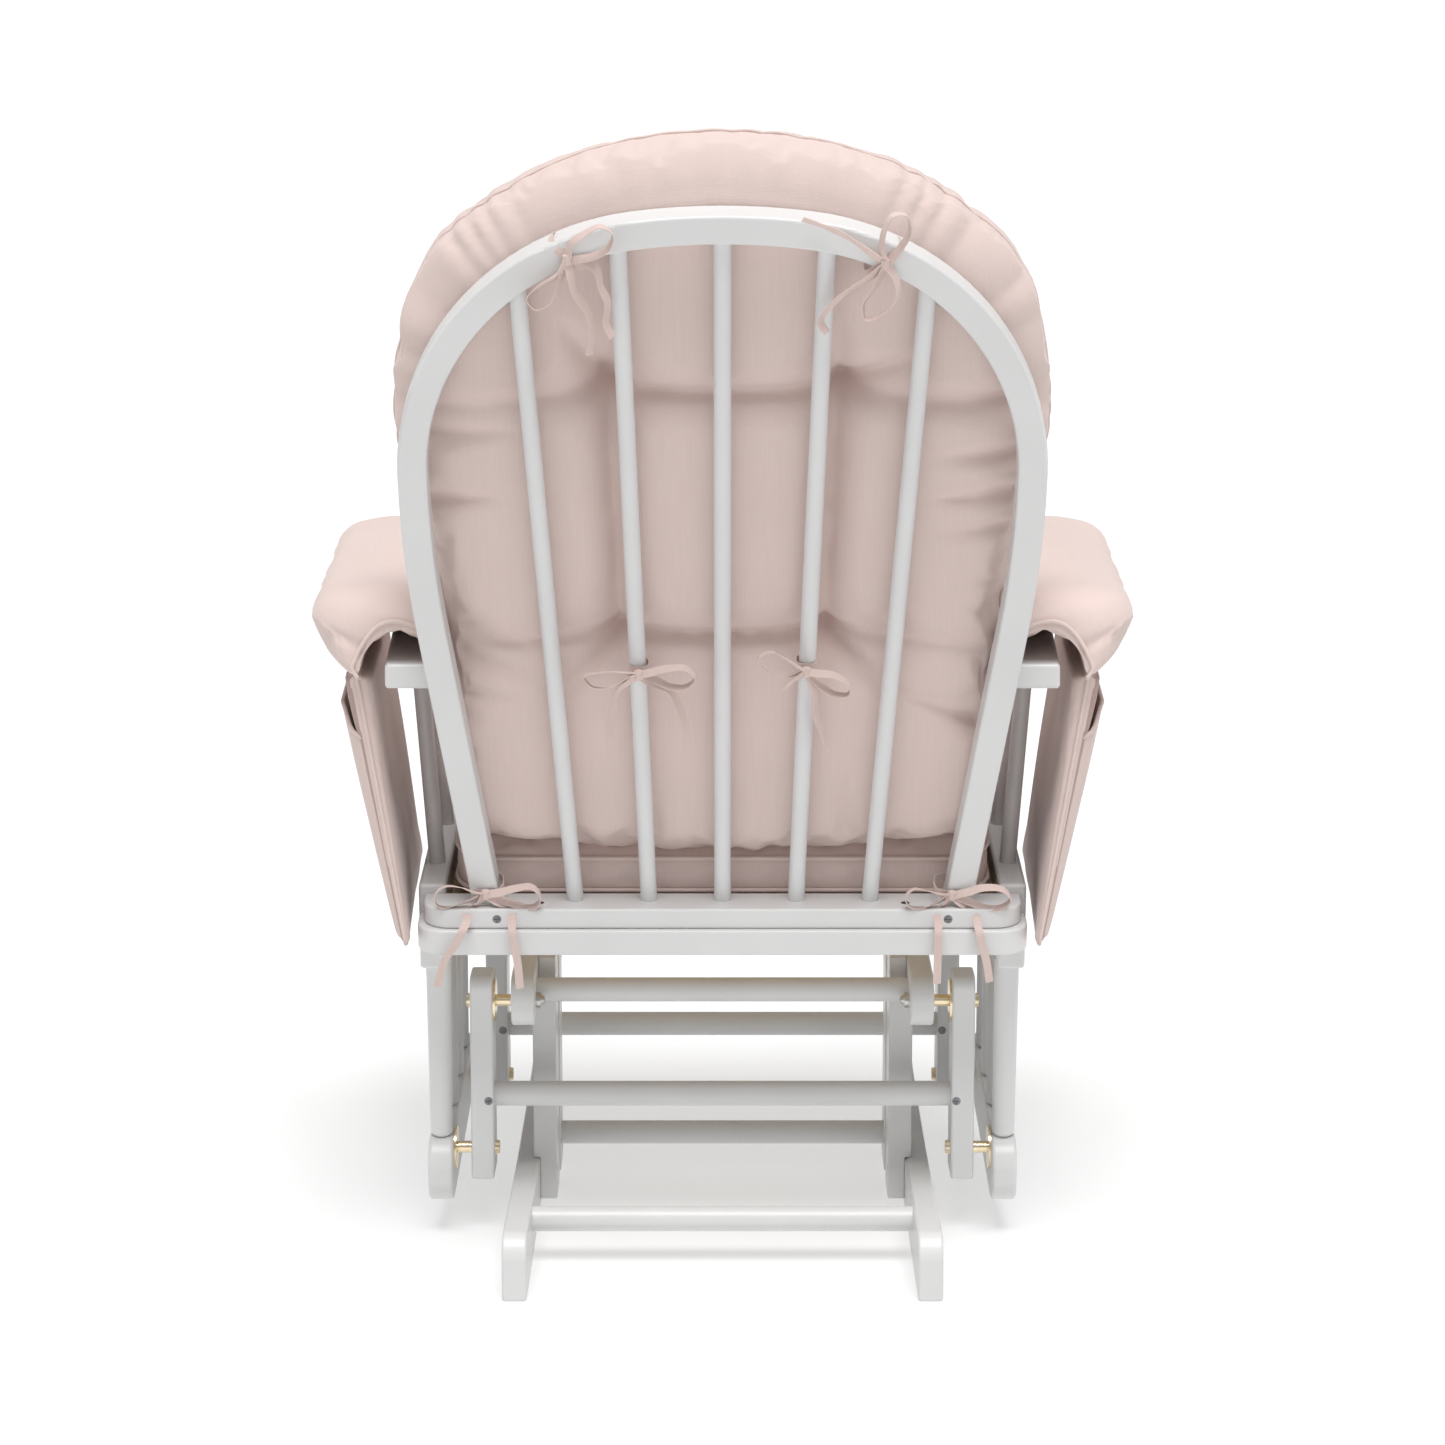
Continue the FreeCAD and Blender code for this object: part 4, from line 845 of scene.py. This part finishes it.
def arm_pad(name, side):
    """A domed pad over the arm, open underneath at the rear, with a drooping outer side."""
    points, faces = loft(facing_out([pad_ring(y, side) for y in pad_stations()], side))
    piece = new_piece(f"arm_pad_{name}_cover", points, faces, CLOTH)
    subdivide(piece)
    place = coordinates(piece.data)
    facing = np.zeros(len(place) * 3)
    piece.data.vertices.foreach_get("normal", facing)
    underneath = facing.reshape(-1, 3)[:, 2] < -0.1
    low = place[:, 2] < ARM_TOP + 6 * MM
    rim = place[:, 1] > PAD_REAR - 3 * MM
    pinned = np.where(underneath | low | rim, 1.0, 0.0)
    inflate(piece, pinned, pressure=1.6, cap=6 * MM, give=-0.03)
    place = coordinates(piece.data)
    x, y, z = np.abs(place[:, 0]), place[:, 1], place[:, 2]
    outer = pad_edges(y)[1]
    outside = portion(x - outer + 40 * MM, 40 * MM)
    ripple = 0.9 * MM * np.sin(y * 74 + 1.5 * np.sin(y * 31)) * outside
    place[:, 0] += side * ripple
    crease = dart_depth(x, y, z)
    place[:, 1] -= crease
    place[:, 0] -= side * crease * 0.5
    set_coordinates(piece.data, place)
    subdivide(piece)
    padded_cover(piece, 0.8, f"arm_pad_{name}")


def dart_depth(x, y, z):
    """The short dart sewn into the rear corner of the pad."""
    start = np.array([317 * MM, ARM_TOP + 15 * MM])
    end = np.array([342 * MM, ARM_TOP + 25 * MM])
    length = np.linalg.norm(end - start)
    along = (end - start) / length
    offset_x = x - start[0]
    offset_z = z - start[1]
    travel = offset_x * along[0] + offset_z * along[1]
    across = np.abs(offset_x * along[1] - offset_z * along[0])
    beyond = np.maximum(np.maximum(-travel, travel - length), 0)
    at_rear = portion(y - PAD_REAR + 60 * MM, 30 * MM)
    return 3 * MM * np.exp(-(np.hypot(across, beyond) / (4.5 * MM)) ** 2) * at_rear


def rim_piping(name, side):
    """Piping round the rear mouth of the pad, and along its drooping edge to the front."""
    section = pad_section(PAD_REAR)[:len(PAD_OVER)]
    mouth = smooth_line([(x * side, PAD_REAR + 0.5 * MM, z) for x, z in section], 60)
    piping(f"arm_pad_{name}_mouth_piping", mouth, 1.9 * MM)
    edge = []
    for y in pad_stations()[:-5]:
        x, z = pad_section(y)[len(PAD_OVER) - 1]
        edge.append((x * side, y, z))
    piping(f"arm_pad_{name}_hem_piping", smooth_line(edge, 90), 1.7 * MM)


# ---- pocket panels

POCKET_REAR = 168 * MM
POCKET_FRONT = -160 * MM
POCKET_TOP = ARM_TOP - 14.4 * MM
POCKET_FOOT = 301 * MM
POCKET_ROUND = 14 * MM
POCKET_FOOT_X = 282.5
POCKET_LEAN = 40.0
SPLAY = 25.0 / 494.0


def pocket_middle(y, z):
    """X of the middle of the panel, which leans in downwards and splays out to the front."""
    share = (z - POCKET_FOOT) / (POCKET_TOP - POCKET_FOOT)
    return (POCKET_FOOT_X + POCKET_LEAN * share) * MM + (POCKET_REAR - y) * SPLAY


def pocket_half(z):
    """Half the thickness of the padded panel, thickest at its top."""
    share = (z - POCKET_FOOT) / (POCKET_TOP - POCKET_FOOT)
    return (5.0 + 8.5 * share ** 0.6 if share > 0 else 5.0) * MM


def pocket_ring(y, side, count=26):
    """The panel cut across: down the outer face, round the foot, and up the inner face."""
    full = 0.16 + 0.84 * rounded(min(POCKET_REAR - y, y - POCKET_FRONT), POCKET_ROUND)
    heights = np.linspace(POCKET_TOP, POCKET_FOOT + 6 * MM, count)
    outer = [(pocket_middle(y, z) + full * pocket_half(z), y, z) for z in heights]
    inner = [(pocket_middle(y, z) - full * pocket_half(z), y, z) for z in heights[::-1]]
    foot_x = pocket_middle(y, POCKET_FOOT)
    foot = [(foot_x + full * 3 * MM, y, POCKET_FOOT + 1.5 * MM),
            (foot_x - full * 3 * MM, y, POCKET_FOOT + 1.5 * MM)]
    return [(x * side, y, z) for x, y, z in outer + foot + inner]


def pocket_panel(name, side):
    """The padded side panel that hangs from the pad."""
    near_rear = eased(POCKET_REAR, -POCKET_ROUND, 5)
    near_front = eased(POCKET_FRONT, POCKET_ROUND, 5)
    stations = near_rear + list(np.linspace(near_rear[-1], near_front[-1], 30)[1:-1])
    stations += near_front[::-1]
    points, faces = loft(facing_out([pocket_ring(y, side) for y in stations], side))
    piece = new_piece(f"arm_pocket_{name}_panel", points, faces, CLOTH)
    place = coordinates(piece.data)
    edge = (place[:, 1] > POCKET_REAR - 2 * MM) | (place[:, 1] < POCKET_FRONT + 2 * MM)
    ends = (place[:, 2] > POCKET_TOP - 4 * MM) | (place[:, 2] < POCKET_FOOT + 4 * MM)
    inflate(piece, np.where(edge | ends, 1.0, 0.0), pressure=1.0, cap=2 * MM, give=-0.01)
    place = coordinates(piece.data)
    wave = 1.3 * MM * np.sin(place[:, 2] * 43 + 1.2 * np.sin(place[:, 1] * 17))
    inwards = (place[:, 1] - POCKET_FRONT) / (POCKET_REAR - POCKET_FRONT)
    place[:, 0] += side * wave * np.sin(inwards * math.pi)
    set_coordinates(piece.data, place)
    subdivide(piece, 2)
    # Faces that turn inwards get the darker cloth, which paints the shade inside the pocket.
    piece.data.materials.append(POCKET_INNER_SHADE_CLOTH)
    for face in piece.data.polygons:
        face.material_index = int(face.normal.x * side < -0.5)
    padded_cover(piece, 0.45, f"arm_pocket_{name}")


def pocket_piping(name, side):
    """Piping down both ends of the panel and along its foot."""
    heights = np.linspace(POCKET_TOP + 1 * MM, POCKET_FOOT + 2 * MM, 40)
    foot_run = np.linspace(POCKET_REAR, POCKET_FRONT, 40)
    line = [(pocket_middle(POCKET_REAR, z), POCKET_REAR + 0.8 * MM, z) for z in heights]
    line += [(pocket_middle(y, POCKET_FOOT), y, POCKET_FOOT + 0.6 * MM) for y in foot_run[1:-1]]
    line += [(pocket_middle(POCKET_FRONT, z), POCKET_FRONT - 0.8 * MM, z) for z in heights[::-1]]
    shaped = np.array([(x * side, y, z) for x, y, z in line])
    piping(f"arm_pocket_{name}_piping", shaped, 1.8 * MM)


MOUTH_HEIGHT = 512 * MM
MOUTH_DIP = 22 * MM
POUCH_THICK = 2.4 * MM


def pouch_point(across, down):
    """A place on the pouch, by its shares from rear to front and from the mouth down."""
    y = POCKET_REAR - 3 * MM + (POCKET_FRONT - POCKET_REAR + 6 * MM) * across
    arch = math.sin(math.pi * across)
    mouth = MOUTH_HEIGHT - MOUTH_DIP * (1 - min(arch * 2.2, 1.0)) ** 2
    z = mouth + (POCKET_FOOT + 5 * MM - mouth) * down
    slack = 8.0 * (1 - down) ** 1.5 + 3 * math.sin(math.pi * down)
    bulge = (1.2 + slack * min(arch * 2.0, 1.0)) * MM
    from_end = min(across, 1 - across) * (POCKET_REAR - POCKET_FRONT)
    full = 0.25 + 0.75 * rounded(from_end, POCKET_ROUND)
    x = pocket_middle(y, z) + full * pocket_half(z) + bulge
    return x, y, z


def pouch(name, side, rows=26, columns=34):
    """The outer layer of the pocket, open along its mouth."""
    grid = [pouch_point(column / (columns - 1), row / (rows - 1))
            for row in range(rows) for column in range(columns)]
    points = [(x * side, y, z) for x, y, z in grid]
    faces = []
    for row in range(rows - 1):
        for column in range(columns - 1):
            corner = row * columns + column
            quad = (corner, corner + 1, corner + columns + 1, corner + columns)
            faces.append(quad if side > 0 else quad[::-1])
    piece = new_piece(f"arm_pocket_{name}_pouch", points, faces, CLOTH)
    thicken = piece.modifiers.new("Solidify", "SOLIDIFY")
    thicken.thickness = POUCH_THICK
    thicken.offset = 0
    apply_modifiers(piece)
    subdivide(piece)
    padded_cover(piece, 0.15)
    mouth = np.array([(x * side, y, z) for x, y, z in
                      (pouch_point(across, 0.0) for across in np.linspace(0, 1, 60))])
    piping(f"arm_pocket_{name}_mouth_hem", mouth, 1.9 * MM)


# ---- ribbon bows

RIBBON_WIDTH = 7.2 * MM
RIBBON_THICK = 0.7 * MM


def ribbon(name, line, width_lines):
    """A flat ribbon along a line. Width_lines gives the direction of its width at each point."""
    along = tangents(line)
    rings = []
    for point, direction, wide in zip(line, along, width_lines):
        wide = wide - direction * (wide @ direction)
        wide = wide / np.linalg.norm(wide)
        face = np.cross(direction, wide)
        half = wide * RIBBON_WIDTH / 2
        thick = face * RIBBON_THICK / 2
        rings.append([point - half - thick, point + half - thick, point + half + thick,
                      point - half + thick])
    points, faces = loft(rings)
    return give_body(new_piece(name, points, faces, RIBBON_CLOTH, BACK, smooth=False), "ribbon")


def ribbon_line(centre, steps, count):
    """A smooth line through steps from a knot: right and up as seen from behind, and rearwards."""
    points = [(centre[0] - right * MM, centre[1] + behind * MM, centre[2] + up * MM)
              for right, behind, up in steps]
    return smooth_line(points, count)


def strand(name, centre, path, depths, turns, count=44):
    """A loop or tail. Depths lift it off the wood in mm, and turns twist it, in degrees."""
    depth = np.interp(np.linspace(0, 1, len(path)), np.linspace(0, 1, len(depths)), depths)
    steps = [(right, behind, up) for (right, up), behind in zip(path, depth)]
    line = ribbon_line(centre, steps, count)
    along = tangents(line)
    turn = np.interp(np.linspace(0, 1, count), np.linspace(0, 1, len(turns)), np.radians(turns))
    rearward = np.array([0.0, 1.0, 0.0])
    widths = []
    for direction, angle in zip(along, turn):
        flat = np.cross(direction, rearward)
        flat = flat / max(np.linalg.norm(flat), 1e-6)
        widths.append(math.cos(angle) * flat + math.sin(angle) * rearward)
    return ribbon(name, line, widths)


def wrap(name, centre, half_wide, half_deep, lean, sharp=0.7):
    """The band that goes round the wood, a flat loop that leans with it."""
    line = []
    for turn in np.linspace(0, math.tau, 49):
        cos, sin = math.cos(turn), math.sin(turn)
        across = math.copysign(abs(cos) ** sharp, cos) * half_wide
        deep = math.copysign(abs(sin) ** sharp, sin) * half_deep
        line.append((centre[0] + across * math.cos(lean), centre[1] + deep,
                     centre[2] + across * math.sin(lean)))
    axis = np.array([-math.sin(lean), 0.0, math.cos(lean)])
    return ribbon(name, np.array(line), [axis] * len(line))


KNOT_SIZE = (9.5 * MM, 6 * MM, 10 * MM)


def knot(name, centre):
    """The small tight knot in the middle of a bow, a pinched loop of ribbon."""
    wide, deep, tall = KNOT_SIZE
    rings = []
    for share in np.linspace(-1, 1, 13):
        pinch = 1 - 0.22 * math.cos(share * math.pi / 2) ** 2 + 0.05 * math.sin(share * 9)
        cap = max(1 - share ** 6, 0.05) ** 0.5
        rings.append([(centre[0] + wide / 2 * pinch * cap * math.cos(turn),
                       centre[1] + deep / 2 * (0.75 + 0.25 * cap) * math.sin(turn),
                       centre[2] + tall / 2 * share)
                      for turn in np.linspace(0, math.tau, 20, endpoint=False)])
    points, faces = loft(rings)
    piece = new_piece(name, points, faces, RIBBON_CLOTH, BACK)
    subdivide(piece)
    return piece


# Each bow in mm: the knot's place in the back's frame, the band's half width, half depth and lean,
# and the runs of its loops, tails and hanging ends from the knot.
BOWS = {
    "upper_left": {
        "at": (126.5, 4.0, 622.0), "wrap": (19, 14.5, 40), "node": "upper_ties",
        "loops": (
          ((0, 0), (4, 16), (14, 25), (29, 32), (37, 26), (34, 13), (24, 5), (8, 0)),
          ((0, 0), (-6, -10), (-24, -21), (-33, -31), (-27, -40), (-14, -36), (-7, -18),
           (-1, -2))),
        "tails": (
          ((0, -2), (2, -12), (6, -29), (15, -44), (19, -60), (16, -84)),
          ((4, 0), (14, -2), (23, -7), (27, -24), (32, -36), (31, -58), (36, -68))),
    },
    "upper_right": {
        "at": (-133.0, 4.0, 618.0), "wrap": (19, 14.5, -40),
        "loops": (
          ((0, 0), (-3, 14), (-2, 32), (5, 46), (15, 46), (19, 33), (12, 16), (3, 2)),
          ((0, 0), (8, -10), (10, -26), (-4, -42), (-16, -45), (-18, -36), (-9, -20), (-1, -4))),
        "tails": (
          ((-2, -2), (-12, -10), (-30, -22), (-42, -34), (-52, -52), (-47, -60)),
          ((-3, 3), (-14, 12), (-34, 26), (-52, 34), (-68, 40))),
    },
    "middle_left": {
        "at": (72.5, 3.5, 236.0), "wrap": (8.6, 8.6, 0), "node": "middle_ties",
        "loops": (
          ((0, 0), (-10, 4), (-27, 7), (-47, 2), (-42, -6), (-25, -9), (-10, -2), (-1, 0)),
          ((0, 0), (9, 4), (26, 10), (42, 10), (49, 2), (41, -8), (28, -9), (12, -2), (1, 0))),
        "tails": (
          ((-1, -1), (-9, -6), (-17, -13), (-22, -30), (-26, -48), (-25, -64)),
          ((1, -1), (14, -7), (26, -12), (34, -28), (40, -48), (43, -72))),
    },
    "middle_right": {
        "at": (-72.5, 3.5, 239.0), "wrap": (8.6, 8.6, 0),
        "loops": (
          ((0, 0), (-5, 5), (-19, 17), (-32, 24), (-41, 19), (-39, 10), (-28, 0), (-18, -3),
           (-4, 1)),
          ((0, 0), (8, 1), (25, 0), (38, -11), (37, -17), (25, -19), (13, -12), (2, -2))),
        "tails": (
          ((-1, -1), (-9, -5), (-18, -14), (-24, -22)),
          ((1, -1), (5, -10), (8, -22), (8, -40), (14, -58), (20, -79))),
    },
    "lower_left": {
        "at": (211.5, 4.0, 13.0), "wrap": (15, 15.5, 0), "node": "lower_ties",
        "hang": ((-17, -44, -62), (24, 30, -64)),
        "loops": (
          ((0, 0), (-9, 4), (-21, 11), (-36, 13), (-45, 4), (-43, -7), (-36, -10.5), (-22, -8),
           (-6, -2)),
          ((0, 0), (12, 4), (26, 10), (43, 12), (49, 4), (46, -7), (38, -10.5), (24, -8),
           (6, -2))),
        "tails": (
          ((-2, -2), (-7, -8), (-12, -11), (-16, -14)),
          ((2, -2), (12, -7), (19, -10), (23, -13))),
    },
    "lower_right": {
        "at": (-205.0, 4.0, 12.0), "wrap": (15, 15.5, 0),
        "hang": ((-13, -13, -58), (22, 34, -56)),
        "loops": (
          ((0, 0), (-8, 3), (-20, 8), (-36, 11), (-42, 3), (-38, -7), (-26, -10), (-14, -6),
           (-4, -1)),
          ((0, 0), (12, 5), (28, 12), (46, 10), (52, 1), (44, -8), (30, -10), (14, -4), (4, -1))),
        "tails": (
          ((-2, -2), (-6, -7), (-10, -11), (-12, -14)),
          ((2, -2), (9, -7), (16, -10), (21, -13))),
    },
}


LOOP_DEPTHS = (0, 4, 7, 8, 8, 6, 3, 0.5)
LOOP_TURNS = (30, 48, 62, 78, 98, 116, 130, 146)
TAIL_DEPTHS = (0, 2.5, 3, 1.5, 1, 2)
TAIL_TURNS = (15, 38, 52, 34, 50, 36)
RAIL_REAR = 26


def hanging_end(name, centre, run):
    """A tail's end that lies over the back rail and hangs down behind it."""
    begin, end, drop = run
    slant = end - begin
    steps = ((begin, 4, -15), (begin, RAIL_REAR - 3, -16.5),
             (begin + 0.1 * slant, RAIL_REAR + 2.5, -20), (begin + 0.3 * slant, RAIL_REAR + 3, -32),
             (begin + 0.7 * slant, RAIL_REAR + 3.4, -50), (end, RAIL_REAR + 4.5, drop - 16))
    line = ribbon_line(centre, steps, 40)
    ribbon(name, line, [np.array([1.0, 0.25, 0.0])] * len(line))


def bow(name, form):
    """A ribbon bow: a knot, two loops, two tails, the band round the wood and any hanging ends."""
    centre = tuple(entry * MM for entry in form["at"])
    middle = knot(f"bow_{name}_knot", centre)
    give_body(middle, "ribbon", *([form["node"]] if "node" in form else []))
    for number, path in enumerate(form["loops"], start=1):
        strand(f"bow_{name}_loop_{number}", centre, path, LOOP_DEPTHS, LOOP_TURNS)
    for number, path in enumerate(form["tails"], start=1):
        strand(f"bow_{name}_tail_{number}", centre, path, TAIL_DEPTHS, TAIL_TURNS)
    half_wide, half_deep, lean = form["wrap"]
    around = (centre[0], -HOOP_THICK / 2, centre[2])
    wrap(f"bow_{name}_band", around, half_wide * MM, half_deep * MM, math.radians(lean))
    for number, run in enumerate(form.get("hang", ()), start=1):
        hanging_end(f"bow_{name}_end_{number}", centre, run)


# ---- stage, light and camera

CAMERA_Y = 3.177
CAMERA_Z = 1.170
CAMERA_PITCH = math.radians(9.61)
CAMERA_LENS = 86.81
CAMERA_SHIFT = -0.12
FLOOR_REACH = 60.0
FLOOR_GLOW = 0.50
SKY = ((0.03, 1.0), (0.10, 0.37))
LAMP_STRENGTH = 3.2
LAMP_ANGLE = math.radians(36)
LAMP_TILT = (math.radians(-17), math.radians(-2), 0)


def floor():
    """A wide pale floor with a little light of its own, so that its shadows stay soft and pale."""
    corners = [(x * FLOOR_REACH, y * FLOOR_REACH, 0)
               for x, y in ((-1, -1), (1, -1), (1, 1), (-1, 1))]
    made = Nodes("pale_floor")
    mottle = made.noise(3, detail=2)
    material = made.finish(made.ramp(mottle, (0.45, 0.45, 0.45), (0.47, 0.47, 0.47)),
                           made.spread(mottle, 0.7, 0.8), Emission_Strength=FLOOR_GLOW,
                           Emission_Color=(1, 1, 1, 1))
    piece = new_piece("studio_floor", corners, [(0, 1, 2, 3)], material, smooth=False)


def studio_light():
    """A bright horizon that dims upwards, and one broad soft lamp above and behind the chair."""
    world = bpy.data.worlds.new("studio")
    bpy.context.scene.world = world
    world.use_nodes = True
    tree = world.node_tree
    place = tree.nodes.new("ShaderNodeTexCoord").outputs["Generated"]
    split = tree.nodes.new("ShaderNodeSeparateXYZ")
    tree.links.new(place, split.inputs["Vector"])
    ramp = tree.nodes.new("ShaderNodeValToRGB")
    for stop, (height, brightness) in zip(ramp.color_ramp.elements, SKY):
        stop.position = height
        stop.color = (brightness, brightness, brightness, 1)
    tree.links.new(split.outputs["Z"], ramp.inputs["Fac"])
    tree.links.new(ramp.outputs["Color"], tree.nodes["Background"].inputs["Color"])
    lamp = bpy.data.lights.new("overhead", "SUN")
    lamp.energy = LAMP_STRENGTH
    lamp.angle = LAMP_ANGLE
    holder = bpy.data.objects.new("overhead", lamp)
    holder.rotation_euler = LAMP_TILT
    bpy.context.scene.collection.objects.link(holder)


def camera():
    """Behind the chair, looking along -Y and a little down."""
    lens = bpy.data.cameras.new("camera")
    lens.lens = CAMERA_LENS
    lens.sensor_width = 36
    lens.shift_y = CAMERA_SHIFT
    holder = bpy.data.objects.new("camera", lens)
    holder.location = (0, CAMERA_Y, CAMERA_Z)
    holder.rotation_euler = (math.pi / 2 - CAMERA_PITCH, 0, math.pi)
    bpy.context.scene.collection.objects.link(holder)
    bpy.context.scene.camera = holder


camera()
floor()
studio_light()
bpy.context.scene.view_settings.view_transform = "Standard"

back_cushion()
edge_piping()
seat_cushion()
seat_piping("seat_cushion_low_piping", LOW_SEAM)
seat_piping("seat_cushion_high_piping", HIGH_SEAM)
for side_name, side_sign in SIDES.items():
    arm_pad(side_name, side_sign)
    rim_piping(side_name, side_sign)
    pocket_panel(side_name, side_sign)
    pocket_piping(side_name, side_sign)
    pouch(side_name, side_sign)
for bow_name, bow_form in BOWS.items():
    bow(bow_name, bow_form)
